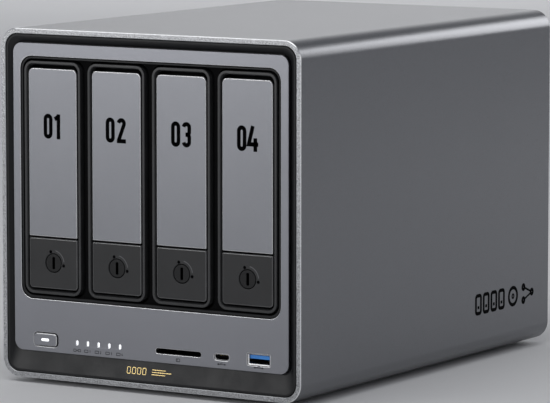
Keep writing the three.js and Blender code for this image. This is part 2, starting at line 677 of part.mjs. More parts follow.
// The moulded tray: a hollow front bezel, two rails that grip the drive, and a web down one side
// with shallow square panels in its outer face.
function traySled(x) {
  const half = TRAY.width / 2;
  const back = TRAY.front + TRAY.bezelDepth;
  const throughFloor = [POCKET_BACK - PAST, back + PAST];
  const bezel = roundY([x - half, x + half], [TRAY.front, back], [TRAY.bottom, TRAY.top], TRAY.radius);
  const pocket = roundY([x - POCKET.halfWidth, x + POCKET.halfWidth], [TRAY.front - PAST, POCKET_BACK],
    [POCKET.bottom, POCKET.top], TRAY.radius - RIM);
  const pinEnd = POCKET.halfWidth + 1.6;
  const pivotHole = rodX(PIVOT.y, PIVOT.z, PIVOT.radius + 0.35, [x - pinEnd, x + pinEnd]);
  const lockHole = rodY(x, LOCK.z, LOCK.bossRadius + 0.4, throughFloor);
  const { count, pitch, halfWidth, height, bottom } = AIR_SLOTS;
  const airSlots = Array.from({ length: count }, (_, row) => {
    const z = bottom + row * pitch;
    return block([x - halfWidth, x + halfWidth], throughFloor, [z, z + height]);
  });

  const railYs = [back - 0.1, TRAY.end];
  const railXs = [x - RAIL.halfWidth, x + RAIL.halfWidth];
  const runnerXs = [x - RAIL.runner, x + RAIL.runner];
  const railBottom = DRIVE.bottom - RAIL.thickness;
  const railTop = DRIVE.top + RAIL.thickness;
  const lower = join(
    block(railXs, railYs, [railBottom, DRIVE.bottom]),
    block(runnerXs, railYs, [TRAY.bottom + GAP, railBottom + 0.1]),
  );
  const upper = join(
    block(railXs, railYs, [DRIVE.top, railTop]),
    block(runnerXs, railYs, [railTop - 0.1, TRAY.top - GAP]),
  );
  const webOuter = x - RAIL.webOuter;
  const panels = squareGrid([webOuter - PAST, webOuter + WEB_PANEL_DEPTH], WEB_PANELS);
  const web = cut(block([webOuter, x - RAIL.halfWidth + 0.1], railYs, [railBottom, railTop]), ...panels);
  return join(cut(bezel, pocket, pivotHole, lockHole, ...airSlots), lower, upper, web);
}

const COVER_BACK = PANEL.front + 1.5;
const INNER_CORNER = 0.5; // where the handle and the latch panel meet

function handleCover(x) {
  const { halfWidth, front, top, radius } = PANEL;
  const zs = [SPLIT.handleBottom, top];
  return roundY([x - halfWidth, x + halfWidth], [front, COVER_BACK], zs, [INNER_CORNER, radius]);
}

// The moulding that carries the cover: a plate, two stiffening ribs, and the barrel with its pin.
function handleLever(x) {
  const { halfWidth, top, radius } = PANEL;
  const margin = 0.4;
  const front = COVER_BACK + 0.05;
  const plateBack = front + 1.2;
  const plate = roundY([x - halfWidth + margin, x + halfWidth - margin], [front, plateBack],
    [SPLIT.handleBottom + margin, top - margin], [INNER_CORNER, radius - margin]);
  const rib = { x: 12.6, halfWidth: 1, depth: 2.3 };
  const ribs = [-1, 1].map((side) => block(
    [x + side * rib.x - rib.halfWidth, x + side * rib.x + rib.halfWidth],
    [plateBack - 0.1, plateBack - 0.1 + rib.depth],
    [SPLIT.handleBottom + 3, top - 6],
  ));
  const barrel = rodX(PIVOT.y, PIVOT.z, 1.7, [x - halfWidth + 0.6, x + halfWidth - 0.6]);
  const pinEnd = TRAY.width / 2 - 0.8;
  const pin = rodX(PIVOT.y, PIVOT.z, PIVOT.radius, [x - pinEnd, x + pinEnd]);
  return join(plate, ...ribs, barrel, pin);
}

// The lower panel is a push button; the boss on its back carries the key lock.
function latchButton(x) {
  const { halfWidth, front, bottom, radius } = PANEL;
  const back = front + 3.4;
  const zs = [bottom, SPLIT.latchTop];
  const panel = roundY([x - halfWidth, x + halfWidth], [front, back], zs, [radius, INNER_CORNER]);
  const boss = rodY(x, LOCK.z, LOCK.bossRadius, [back - 0.1, LOCK.bossBack]);
  const bore = rodY(x, LOCK.z, LOCK.radius + 0.25, [front - PAST, INTERIOR]);
  return cut(join(panel, boss), bore);
}

function lockCylinder(x) {
  const { z, radius, back, camReach } = LOCK;
  const front = PANEL.front + 0.15;
  const barrel = rodY(x, z, radius, [front, back]);
  const keyway = block([x - 0.75, x + 0.75], [front - PAST, front + 6], [z - 3, z + 3]);
  const cam = roundY([x - 2.2, x + 2.2], [back - 0.1, back + 1.3], [z - 2.2, z + camReach], 1.2, 1);
  return join(cut(barrel, keyway), cam);
}

// ---------------------------------------------------------------- assembly

place('outer_sleeve', outerSleeve(), aluminium);
place('base_cover', baseCover(), steel);
CORNERS.forEach(([sx, sy], i) => {
  place(`foot_${i + 1}`, foot(sx * FOOT.x, sy * FOOT.y), rubber);
});
place('front_frame', frontFrame(), blackPlastic);
place('faceplate', faceplate(), aluminium);
place('bay_surround', baySurround(), blackPlastic);

place('chassis_base', chassisBase(), steel);
place('cage_floor', cageFloor(), blackPlastic);
place('cage_roof', cageRoof(), blackPlastic);
place('cage_side_left', cageSide(-1), steel);
place('cage_side_right', cageSide(1), steel);
[-1, 0, 1].forEach((step, i) => {
  place(`cage_divider_${i + 1}`, cageDivider(step * BAY_PITCH), steel);
});

place('backplane_board', backplaneBoard(), boardGreen);
place('mainboard', mainboard(), boardGreen);
place('cpu_heatsink', cpuHeatsink(), aluminium);
place('memory_module', memoryModule(), boardGreen);
place('front_io_board', frontIoBoard(), boardGreen);
place('sd_card_reader', cardReader(), nickel);
place('usb_c_port', usbCPort(), nickel);
place('usb_a_port', usbAPort(), nickel);
place('status_light_pipes', statusLightPipes(), lens);
place('power_button', powerButton(), aluminium);

place('rear_panel', rearPanel(), steel);
place('fan_frame', fanFrame(), fanBlack);
place('fan_rotor', fanRotor(), fanBlack);
place('dust_filter', dustFilter(), blackPlastic);
place('lan_jacks', lanJacks(), nickel);
place('rear_usb_stack', rearUsbStack(), nickel);
place('hdmi_port', hdmiPort(), nickel);
place('dc_inlet', dcInlet(), blackPlastic);
place('reset_button', resetButton(), darkPlastic);

trayCentres.forEach((x, i) => {
  const bay = i + 1;
  place(`sata_connector_${bay}`, sataConnector(x), blackPlastic);
  const tray = new THREE.Group();
  tray.name = `tray_${bay}`;
  model.add(tray);
  place(`tray_${bay}_sled`, traySled(x), blackPlastic, tray);
  place(`tray_${bay}_handle_cover`, handleCover(x), panelAluminium, tray);
  place(`tray_${bay}_handle_lever`, handleLever(x), blackPlastic, tray);
  place(`tray_${bay}_latch`, latchButton(x), darkPlastic, tray);
  place(`tray_${bay}_lock`, lockCylinder(x), darkPlastic, tray);
});

export default model;
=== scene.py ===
"""A four-bay network storage enclosure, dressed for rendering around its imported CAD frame.

Shapes are worked out in millimetres in the CAD frame (+Z up, the front faces -Y) and put into
Blender in metres.
"""
import random
from math import cos, pi, radians, sin, sqrt

import bmesh
import bpy
from mathutils import Matrix, Vector
from mathutils.geometry import tessellate_polygon


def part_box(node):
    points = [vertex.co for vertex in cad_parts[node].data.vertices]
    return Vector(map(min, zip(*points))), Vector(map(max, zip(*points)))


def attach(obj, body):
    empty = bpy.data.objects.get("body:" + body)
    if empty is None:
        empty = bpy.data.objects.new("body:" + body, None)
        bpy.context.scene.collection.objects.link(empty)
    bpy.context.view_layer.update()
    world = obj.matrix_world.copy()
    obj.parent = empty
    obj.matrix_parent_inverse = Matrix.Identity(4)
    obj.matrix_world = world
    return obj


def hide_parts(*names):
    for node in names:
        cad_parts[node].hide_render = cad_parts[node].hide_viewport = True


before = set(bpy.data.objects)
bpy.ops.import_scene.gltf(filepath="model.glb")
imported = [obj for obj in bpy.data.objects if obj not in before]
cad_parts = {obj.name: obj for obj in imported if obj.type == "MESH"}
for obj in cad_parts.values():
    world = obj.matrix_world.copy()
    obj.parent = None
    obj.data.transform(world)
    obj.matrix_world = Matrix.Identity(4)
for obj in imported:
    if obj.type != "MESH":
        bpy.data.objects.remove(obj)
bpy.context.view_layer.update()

MM = 0.001
BAYS = (1, 2, 3, 4)


class Box:
    """The box of a CAD node at rest, in millimetres."""

    def __init__(self, node):
        low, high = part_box(node)
        self.x0, self.y0, self.z0 = (value / MM for value in low)
        self.x1, self.y1, self.z1 = (value / MM for value in high)
        self.x, self.y, self.z = (value / MM for value in (low + high) / 2)

    def outline(self, radius, low=None, steps=6):
        """The box seen from the front, with round corners."""
        return Rect(self.x0, self.x1, self.z0, self.z1, radius, low, steps)


# --- outlines

# where a point (u, v) of an outline goes at a depth along the outline's axis
AXES = {
    "x": lambda u, v, depth: Vector((depth, u, v)),
    "y": lambda u, v, depth: Vector((u, depth, v)),
    "z": lambda u, v, depth: Vector((u, v, depth)),
}


class Rect:
    """A rectangle with round corners; low is the radius of its two lower corners."""

    def __init__(self, u0, u1, v0, v1, radius, low=None, steps=6, axis="y"):
        self.u0, self.u1, self.v0, self.v1 = u0, u1, v0, v1
        self.radius = max(radius, 0.02)
        self.low = self.radius if low is None else max(low, 0.02)
        self.steps, self.axis = steps, axis

    def grown(self, by):
        return Rect(self.u0 - by, self.u1 + by, self.v0 - by, self.v1 + by,
                    self.radius + by, self.low + by, self.steps, self.axis)

    def at(self, depth):
        high, low = self.radius, self.low
        corners = (
            (self.u1 - low, self.v0 + low, low, -90),
            (self.u1 - high, self.v1 - high, high, 0),
            (self.u0 + high, self.v1 - high, high, 90),
            (self.u0 + low, self.v0 + low, low, 180),
        )
        points = []
        for u, v, radius, start in corners:
            for step in range(self.steps + 1):
                angle = radians(start + 90 * step / self.steps)
                point = (u + radius * cos(angle), v + radius * sin(angle))
                points.append(AXES[self.axis](*point, depth))
        return points


class Round:
    """A circle."""

    def __init__(self, u, v, radius, steps=32, axis="y"):
        self.u, self.v, self.radius, self.steps, self.axis = u, v, radius, steps, axis

    def grown(self, by):
        return Round(self.u, self.v, self.radius + by, self.steps, self.axis)

    def at(self, depth):
        angles = (2 * pi * step / self.steps for step in range(self.steps))
        return [AXES[self.axis](self.u + self.radius * cos(a), self.v + self.radius * sin(a), depth)
                for a in angles]


def centred(u, v, width, height, radius, **more):
    return Rect(u - width / 2, u + width / 2, v - height / 2, v + height / 2, radius, **more)


def edge_rings(outline, depth0, depth1, first, last, steps=3):
    """Rings down the side of a plate with two rounded edges; a negative radius is for a hole."""
    rings = []
    for radius, face, inwards in ((first, depth0, 1), (last, depth1, -1)):
        side = inwards if depth1 > depth0 else -inwards
        angles = [pi / 2 * i / steps for i in range(steps + 1)] if radius else [pi / 2]
        bend = [outline.grown(-radius * (1 - sin(a))).at(face + side * abs(radius) * (1 - cos(a)))
                for a in angles]
        rings += bend if inwards > 0 else bend[::-1]
    return rings


STRONG, WEAK = 16384, -16384  # how much a flat face or a curved wall sways the shading normals
SHARPEST_MITRE = 0.4  # cosine beyond which a stroke's corner isn't drawn out any further
WELD = 0.0005  # points of a piece closer than this, in millimetres, are one


class Solid:
    """Collects the faces of one piece, in millimetres, and makes it a Blender object."""

    def __init__(self):
        self.mesh = bmesh.new()
        self.strength = self.mesh.faces.layers.int.new("__mod_weightednormals_faceweight")

    def wall(self, rings, material=0, skip=()):
        """Quads from each ring of points to the next, apart from the places in skip."""
        rows = [[self.mesh.verts.new(point) for point in ring] for ring in rings]
        count = len(rows[0])
        for a, b in zip(rows, rows[1:]):
            for i in range(count):
                if i in skip:
                    continue
                j = (i + 1) % count
                face = self.mesh.faces.new((a[i], a[j], b[j], b[i]))
                face.material_index = material
                face[self.strength] = WEAK

    def face(self, outer, holes=(), material=0):
        loops = [outer, *holes]
        verts = [self.mesh.verts.new(point) for loop in loops for point in loop]
        patches = tessellate_polygon(loops) if holes else [range(len(outer))]
        for patch in patches:
            face = self.mesh.faces.new([verts[i] for i in patch])
            face.material_index = material
            face[self.strength] = STRONG

    def closed(self, rings):
        """A wall with a face over each of its ends."""
        self.wall(rings)
        self.face(rings[0])
        self.face(rings[-1])

    def plate(self, outline, depth0, depth1, first=0.2, last=0.2, holes=(), material=0, edge=None,
              hole_edge=None, steps=3):
        """A plate with rounded edges; edge and hole_edge are the materials of its rims, which some pieces use
        for a painted highlight.
        """
        edge = material if edge is None else edge
        hole_edge = material if hole_edge is None else hole_edge
        self.face(outline.grown(-first).at(depth0), [h.grown(first).at(depth0) for h in holes], material)
        self.face(outline.grown(-last).at(depth1), [h.grown(last).at(depth1) for h in holes], material)
        self.wall(edge_rings(outline, depth0, depth1, first, last, steps), edge)
        for hole in holes:
            self.wall(edge_rings(hole, depth0, depth1, -first, -last, steps), hole_edge)

    def block(self, x0, x1, y0, y1, z0, z1, bevel=0.2, material=0):
        self.plate(Rect(x0, x1, z0, z1, bevel, steps=2), y0, y1, bevel, bevel, material=material, steps=2)

    def tube(self, points, radius, sides):
        """A round wire through the points, closed at both ends."""
        turns = [2 * pi * k / sides for k in range(sides)]
        rings = []
        for i, point in enumerate(points):
            ahead = (points[min(i + 1, len(points) - 1)] - points[max(i - 1, 0)]).normalized()
            side = side - ahead * side.dot(ahead) if i else ahead.orthogonal()
            side.normalize()
            other = ahead.cross(side)
            rings.append([point + radius * (side * cos(a) + other * sin(a)) for a in turns])
        self.closed(rings)

    def ribbon(self, points, width, depths, closed=False, place=AXES["y"]):
        """A flat stroke of that width along 2-D points, as ink or as a thin applied strip."""
        points = [Vector(point) for point in points]
        count = len(points)
        left, right = [], []
        for i, point in enumerate(points):
            before = points[(i - 1) % count] if closed or i else point
            after = points[(i + 1) % count] if closed or i < count - 1 else point
            d0 = (point - before if before != point else after - point).normalized()
            d1 = (after - point).normalized() if after != point else d0
            mitre = Vector((-(d0.y + d1.y), d0.x + d1.x)).normalized()
            reach = width / 2 / max(SHARPEST_MITRE, mitre.dot(Vector((-d0.y, d0.x))))
            left.append(point + mitre * reach)
            right.append(point - mitre * reach)
        front_left, front_right, back_left, back_right = (
            [self.mesh.verts.new(place(p.x, p.y, depth)) for p in side]
            for depth in depths for side in (left, right))
        quads = []
        for i in range(count if closed else count - 1):
            j = (i + 1) % count
            quads += [(front_left[i], front_left[j], front_right[j], front_right[i]),
                      (back_right[i], back_right[j], back_left[j], back_left[i]),
                      (front_left[i], back_left[i], back_left[j], front_left[j]),
                      (front_right[j], back_right[j], back_right[i], front_right[i])]
        if not closed:
            quads += [(front_left[k], front_right[k], back_right[k], back_left[k]) for k in (0, -1)]
        for quad in quads:
            self.mesh.faces.new(quad)

    def ring(self, outline, width, depths, place=AXES["y"]):
        """A closed stroke along an outline."""
        self.ribbon([(p.x, p.z) for p in outline.at(0)], width, depths, True, place)

    def made(self, name, body, materials, replaces=(), sharp=38):
        """Close the mesh into a piece that rides on a body."""
        bmesh.ops.remove_doubles(self.mesh, verts=self.mesh.verts, dist=WELD)
        bmesh.ops.recalc_face_normals(self.mesh, faces=self.mesh.faces)
        bmesh.ops.scale(self.mesh, vec=(MM, MM, MM), verts=self.mesh.verts)
        data = bpy.data.meshes.new(name)
        self.mesh.to_mesh(data)
        self.mesh.free()
        for material in materials:
            data.materials.append(material)
        data.shade_smooth()
        data.set_sharp_from_angle(angle=radians(sharp))
        piece = added(name, data)
        weigh(piece, by_strength=True)
        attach(piece, body)
        if replaces:
            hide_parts(*replaces)


def added(name, data):
    """A new object in the scene."""
    thing = bpy.data.objects.new(name, data)
    bpy.context.scene.collection.objects.link(thing)
    return thing


def weigh(piece, by_strength=False):
    modifier = piece.modifiers.new("weighted_normals", "WEIGHTED_NORMAL")
    modifier.keep_sharp = True
    modifier.weight = 80
    modifier.use_face_influence = by_strength


def keep(material, bevel, *nodes):
    """CAD nodes that stay: flat facets joined, edges softened, and a finish of their own."""
    for node in nodes:
        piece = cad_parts[node]
        piece.data.materials.clear()
        piece.data.materials.append(material)
        flatten = piece.modifiers.new("flatten", "DECIMATE")
        flatten.decimate_type = "DISSOLVE"
        flatten.angle_limit = radians(1)
        soften = piece.modifiers.new("soften", "BEVEL")
        soften.width = bevel * MM
        soften.segments = 2
        soften.limit_method = "ANGLE"
        soften.angle_limit = radians(30)
        weigh(piece)


# --- materials

class Nodes:
    """A short way to build a Principled material from procedural nodes."""

    def __init__(self, name, color, rough, metallic=0.0, specular=0.5):
        self.color, self.rough = color, rough
        self.material = bpy.data.materials.new(name)
        self.material.use_nodes = True
        self.tree = self.material.node_tree
        self.tree.nodes.clear()
        self.shader = self.add("BsdfPrincipled", {
            "Base Color": color, "Roughness": rough, "Metallic": metallic, "Specular IOR Level": specular})
        self.add("OutputMaterial", {0: self.shader.outputs[0]})
        self.place = self.add("TexCoord").outputs["Object"]

    def add(self, kind, inputs=None):
        """A new node; inputs gives a number, a colour or another node's output for some sockets."""
        node = self.tree.nodes.new("ShaderNode" + kind)
        for name, value in (inputs or {}).items():
            self.feed(node, name, value)
        return node

    def feed(self, node, name, value):
        socket = node.inputs[name]
        if isinstance(value, bpy.types.NodeSocket):
            self.tree.links.new(value, socket)
        else:
            socket.default_value = (*value, 1) if socket.type == "RGBA" else value

    def drive(self, name, value):
        self.feed(self.shader, name, value)

    def noise(self, size_mm, detail=2.0, stretch=(1, 1, 1)):
        mapping = self.add("Mapping", {"Scale": stretch, "Vector": self.place})
        node = self.add("TexNoise", {
            "Scale": 1 / (size_mm * MM), "Detail": detail, "Vector": mapping.outputs[0]})
        return node.outputs["Fac"]

    def ranged(self, value, low, high, from_low=0.3, from_high=0.7):
        node = self.add("MapRange", {
            "Value": value, "From Min": from_low, "From Max": from_high, "To Min": low, "To Max": high})
        return node.outputs["Result"]

    def maths(self, operation, a, b):
        node = self.add("Math", {0: a, 1: b})
        node.operation = operation
        return node.outputs[0]

    def mix(self, factor, a, b):
        """Two colours mixed; the node's type has to be set before its sockets are looked up."""
        node = self.add("Mix")
        node.data_type = "RGBA"
        for name, value in (("Factor", factor), ("A", a), ("B", b)):
            self.feed(node, name, value)
        return node.outputs["Result"]

    def shade(self, value, spread):
        """Base colour that runs from darker to lighter by spread, following value from 0 to 1."""
        dark = tuple(c * (1 - spread) for c in self.color)
        light = tuple(min(1, c * (1 + spread)) for c in self.color)
        self.drive("Base Color", self.mix(value, dark, light))

    def uneven(self, first, swing, second=None, second_swing=0.0):
        """Roughness that follows one noise, or the sum of two, each by its own swing."""
        rough = self.ranged(first, self.rough - swing, self.rough + swing)
        if second:
            rough = self.maths("ADD", rough, self.ranged(second, -second_swing, second_swing))
        self.drive("Roughness", rough)

    def bump(self, height, strength, distance_mm):
        node = self.add("Bump", {
            "Strength": strength, "Distance": distance_mm * MM, "Height": height})
        self.drive("Normal", node.outputs[0])


COARSE = 0.3  # a speckle above this has the full range from black to twice the colour


def blasted(name, color, rough, grain_mm=0.35, speckle=0.06, relief=0.02, streak=0.012):
    """Bead-blasted, anodised aluminium: fine pits, a slow cloudiness and faint handling marks."""
    n = Nodes(name, color, rough, metallic=1.0)
    grain = n.noise(grain_mm, detail=3)
    cloud = n.noise(38, detail=2)
    smear = n.noise(22, detail=3)
    tone = n.maths("ADD", n.ranged(grain, -speckle, speckle), n.ranged(cloud, -streak, streak))
    n.shade(n.maths("ADD", tone, 0.5), 1.0 if speckle > COARSE else 0.6)
    n.uneven(grain, 0.03, smear, streak)
    n.bump(grain, 0.5, relief)
    return n.material


def plastic(name, color, rough, grain_mm=0.3, relief=0.012, specular=0.5):
    """Spark-eroded moulding texture with a slight uneven sheen."""
    n = Nodes(name, color, rough, specular=specular)
    grain = n.noise(grain_mm, detail=2)
    sheen = n.noise(14, detail=3)
    n.shade(n.ranged(sheen, 0.35, 0.65), 0.5)
    n.uneven(sheen, 0.05, grain, 0.04)
    n.bump(grain, 0.45, relief)
    return n.material


def sheet(name, color, rough):
    """Rolled or plated sheet: fine lines along the rolling direction and a cloudy plating."""
    n = Nodes(name, color, rough, metallic=1.0)
    lines = n.noise(1.2, detail=4, stretch=(1, 1 / 12, 1))
    cloud = n.noise(6, detail=3)
    n.shade(n.ranged(cloud, 0.3, 0.7), 0.2)
    n.uneven(lines, 0.08, cloud, 0.04)
    n.bump(lines, 0.25, 0.02)
    return n.material


def circuit_board(name, color):
    """Solder mask over copper: lighter traces in two directions, and a gloss that varies."""
    n = Nodes(name, color, 0.35)
    across = n.noise(1.1, detail=0, stretch=(1, 0.06, 0.06))
    along = n.noise(1.1, detail=0, stretch=(0.06, 1, 1))
    traces = n.ranged(n.maths("MAXIMUM", across, along), 0.2, 0.8, 0.55, 0.62)
    n.shade(traces, 0.45)
    n.drive("Roughness", n.ranged(n.noise(5), 0.28, 0.45))
    n.bump(traces, 0.3, 0.03)
    return n.material


def glow(name, color, strength):
    """A lit diffuser, its glow varied by a soft unevenness of the moulding."""
    n = Nodes(name, color, 0.3)
    haze = n.ranged(n.noise(1.5), 0.4, 0.6)
    dim = tuple(c * 0.85 for c in color)
    n.drive("Emission Strength", strength)
    n.drive("Emission Color", n.mix(haze, dim, color))
    n.drive("Roughness", n.ranged(haze, 0.25, 0.35, 0, 1))
    return n.material


def ink(name, color, rough, metallic=0.0, specular=0.2):
    """Screen print: nearly even, with the slight mottle of a printed film."""
    n = Nodes(name, color, rough, metallic, specular)
    mottle = n.noise(0.5, detail=2)
    n.shade(n.ranged(mottle, 0.35, 0.65), 0.3)
    n.uneven(mottle, 0.06)
    n.bump(mottle, 0.3, 0.004)
    return n.material


SLEEVE = blasted("sleeve_aluminium", (0.203, 0.207, 0.22), 0.3, grain_mm=0.4, speckle=0.05, streak=0.004)
SLEEVE_END = blasted("sleeve_cut_face", (0.36, 0.365, 0.375), 0.4, grain_mm=0.6, speckle=0.31,
                     relief=0.04, streak=0.0)
# painted highlight: a much lighter copy of the blasted aluminium, put on rounded rims so that they show
# bright lines
HIGHLIGHT_EDGE = blasted("painted_highlight_edge", (0.74, 0.75, 0.78), 0.28, grain_mm=0.2, speckle=0.02, relief=0.002)
CHAMFER = sheet("polished_chamfer", (0.82, 0.83, 0.85), 0.26)
INNER_CHAMFER = sheet("satin_chamfer", (0.5, 0.51, 0.52), 0.36)
FACE = blasted("faceplate_aluminium", (0.262, 0.266, 0.288), 0.36, grain_mm=0.3, speckle=0.04)
COVER = blasted("cover_aluminium", (0.252, 0.257, 0.276), 0.36, grain_mm=0.28, speckle=0.04)
BLACK = plastic("black_plastic", (0.012, 0.0123, 0.0135), 0.42, specular=0.28)
TRAY_BLACK = plastic("tray_plastic", (0.026, 0.0265, 0.0275), 0.36)
LATCH_GREY = plastic("latch_plastic", (0.023, 0.0232, 0.024), 0.45, specular=0.4)
# painted highlight: a much lighter copy of the latch plastic for the panel's rounded rim
LATCH_EDGE_HIGHLIGHT = plastic("latch_edge_painted_highlight", (0.09, 0.09, 0.092), 0.22, specular=1.0)
LOCK_BLACK = plastic("lock_black", (0.007, 0.007, 0.0075), 0.45, specular=0.3)
# near-black plastic: the own colour of dark inner parts, and painted shade where it lines recesses, moats,
# webs, keyways and screw recesses
INNER_BLACK_AND_SHADE = plastic("inner_plastic_and_painted_shade", (0.0022, 0.0022, 0.0025), 0.6, specular=0.05)
FAN_BLACK = plastic("fan_plastic", (0.018, 0.018, 0.02), 0.5)
POWDER = plastic("powder_coat", (0.02, 0.0205, 0.022), 0.55, grain_mm=0.5, relief=0.04)
RUBBER = plastic("rubber", (0.018, 0.018, 0.018), 0.85, grain_mm=0.6, relief=0.03)
ZINC = sheet("zinc_sheet", (0.62, 0.63, 0.64), 0.36)
NICKEL = sheet("nickel_shell", (0.78, 0.78, 0.77), 0.22)
# painted highlight: a brighter, glossier copy of the nickel for the flared mouths of the sockets
NICKEL_LIP_HIGHLIGHT = sheet("nickel_lip_painted_highlight", (0.97, 0.97, 0.98), 0.18)
GOLD = sheet("contact_gold", (0.86, 0.62, 0.25), 0.25)
MILLED = sheet("milled_aluminium", (0.78, 0.79, 0.8), 0.32)
BOARD = circuit_board("circuit_board", (0.012, 0.045, 0.028))
CHIP = plastic("chip_resin", (0.02, 0.02, 0.021), 0.5, grain_mm=0.2)
USB_BLUE = plastic("usb_blue", (0.05, 0.27, 1.0), 0.35)
WHITE_GLOW = glow("white_light", (0.95, 0.97, 1.0), 1.1)
PRINT = ink("dark_print", (0.0006, 0.0006, 0.001), 0.6, specular=0.02)
ARC_PRINT = ink("grey_print", (0.15, 0.15, 0.155), 0.5)
LABEL_GREY = ink("label_grey", (0.2, 0.2, 0.21), 0.55)
GOLD_PRINT = ink("gold_print", (0.62, 0.47, 0.2), 0.35, metallic=0.6)
LENS = plastic("light_pipe", (0.8, 0.82, 0.85), 0.25)


# --- case

WALL = 2.7
CORNER = 9.7
CHAMFER_SIZE = 0.4
INNER_CHAMFER_SIZE = 0.25
HATCH_LEDGE = 4.3
HATCH_REBATE = 1.4
FRAME_LIP = 1.2
SLOPE_DEPTH = 2.1
FIT = 0.3  # clearance between neighbouring pieces


def rectangle(x0, x1, y0, y1, z):
    return [Vector(p) for p in ((x0, y0, z), (x1, y0, z), (x1, y1, z), (x0, y1, z))]


def sleeve():
    """The extruded sleeve, with diamond-cut chamfers round both ends and the hatch in its floor."""
    box, hatch = Box("outer_sleeve"), Box("base_cover")
    outer = box.outline(CORNER, steps=16)
    inner = outer.grown(-WALL)
    c, small = CHAMFER_SIZE, INNER_CHAMFER_SIZE
    y0, y1 = box.y0, box.y1
    floor_quad = (len(outer.at(0)) - 1,)
    s = Solid()
    for outline in (outer, inner):
        s.wall([outline.at(y0 + c), outline.at(y1 - c)], skip=floor_quad)
    for y, cut in ((y0, y0 + c), (y1, y1 - c)):
        s.wall([outer.at(cut), outer.grown(-c).at(y)], 1)
        s.wall([outer.grown(-c).at(y), inner.grown(small).at(y)], 2)
        s.wall([inner.grown(small).at(y), inner.at(y + (cut - y) * small / c), inner.at(cut)], 3)
    rebate_z, inside_z = box.z0 + HATCH_REBATE, box.z0 + WALL
    narrow = FIT - HATCH_LEDGE
    levels = [rectangle(hatch.x0 - grow, hatch.x1 + grow, hatch.y0 - grow, hatch.y1 + grow, z)
              for z, grow in ((box.z0, FIT), (rebate_z, FIT), (rebate_z, narrow), (inside_z, narrow))]
    flat = box.x1 - CORNER
    s.face(rectangle(-flat, flat, y0 + c, y1 - c, box.z0), [levels[0]])
    s.wall(levels)
    s.face(rectangle(-flat, flat, y0 + c, y1 - c, inside_z), [levels[3]])
    s.made("sleeve", "case", [SLEEVE, CHAMFER, SLEEVE_END, INNER_CHAMFER],
           ["outer_sleeve"])


BAY_WINDOW = Rect(-77.3, 77.3, 43.4, 166.65, 6.5, steps=8)
CONTROL_WINDOW = Rect(-78, 78, 18.5, 36.5, 3, steps=8)


def front_frame():
    """The black frame: a narrow lip, then a slope in to the faceplate, and windows behind it."""
    box, plate = Box("front_frame"), Box("faceplate")
    outer = box.outline(7, steps=8)
    mouth = outer.grown(-FRAME_LIP)
    pocket = plate.outline(5, steps=8).grown(FIT)
    room = Rect(-83, 83, 8.5, 174.5, 5, steps=8)
    windows = (BAY_WINDOW, CONTROL_WINDOW)
    front, floor, seat, back = box.y0, plate.y1 + FIT, -121.3, box.y1
    soft = 0.2
    s = Solid()
    rim = mouth.grown(-soft / 2).at(front + soft / 3)
    s.wall([outer.at(back), outer.at(front + soft), outer.grown(-soft / 3).at(front + soft / 3),
            outer.grown(-soft).at(front), mouth.grown(soft / 2).at(front), rim])
    s.wall([rim, pocket.at(front + SLOPE_DEPTH), pocket.at(floor)])
    s.face(pocket.at(floor), [window.at(floor) for window in windows])
    for window in windows:
        s.wall([window.at(floor), window.at(seat)])
    s.face(room.at(seat), [window.at(seat) for window in windows])
    s.wall([room.at(seat), room.at(back)])
    s.wall([room.at(back), outer.at(back)])
    s.made("front_bezel", "case", [BLACK], ["front_frame"])


LIGHTS = [Box("status_light_pipes").x0 + 2 + 6.5 * i for i in range(5)]
LIGHT_Z = Box("status_light_pipes").z
USB_C_Z = 22.3
CARD = centred(17.5, 22.5, 26.8, 2.6, 1.25, steps=8)


def faceplate():
    box, button = Box("faceplate"), Box("power_button")
    usb_a, usb_c = Box("usb_a_port"), Box("usb_c_port")
    holes = [
        BAY_WINDOW,
        centred(button.x, button.z, 14.9, 7.3, 2.3, steps=8),
        CARD,
        centred(usb_c.x, USB_C_Z, 9.1, 3.4, 1.68, steps=8),
        centred(usb_a.x, LIGHT_Z, 13.4, 6.0, 0.5, steps=4),
    ]
    holes += [centred(x, LIGHT_Z, 1.15, 2.35, 0.55, steps=5) for x in LIGHTS]
    s = Solid()
    # the rims of the holes are in the lighter edge metal, a painted highlight
    s.plate(box.outline(5, steps=12), box.y0, box.y1, 0.28, 0.1, holes, hole_edge=1)
    s.made("control_faceplate", "case", [FACE, HIGHLIGHT_EDGE], ["faceplate"])


def bay_liner():
    """The black liner of the bay window; the webs between the trays sit back from its rim."""
    box, first, last = Box("bay_surround"), Box("tray_1_sled"), Box("tray_4_sled")
    front, web, back = box.y0, box.y0 + 1.7, box.y1
    flange_front = back - 2
    rim = BAY_WINDOW.grown(-FIT)
    openings = [Box(f"tray_{bay}_sled").outline(4.5, steps=8).grown(1) for bay in BAYS]
    # the end openings share the recess's edge, so the recess is drawn a hair larger
    recess = Rect(first.x0, last.x1, first.z0, first.z1, 4.5, steps=8).grown(1).grown(0.05)
    ledge = box.outline(6.5, steps=8)
    s = Solid()
    s.wall(edge_rings(rim, front, flange_front, 0.25, 0))
    s.wall([rim.grown(-0.25).at(front), recess.grown(0.2).at(front), recess.at(front + 0.2), recess.at(web)])
    # painted shade: the recessed webs between the trays and the walls of the tray openings are in the
    # near-black inner material
    s.face(recess.at(web), [o.at(web) for o in openings], 1)
    for opening in openings:
        s.wall([opening.at(web), opening.at(back)], 1)
    s.face(ledge.at(back), [o.at(back) for o in openings])
    s.wall([rim.at(flange_front), ledge.at(flange_front), ledge.at(back)])
    s.made("bay_liner", "case", [BLACK, INNER_BLACK_AND_SHADE], ["bay_surround"])


# --- controls and sockets

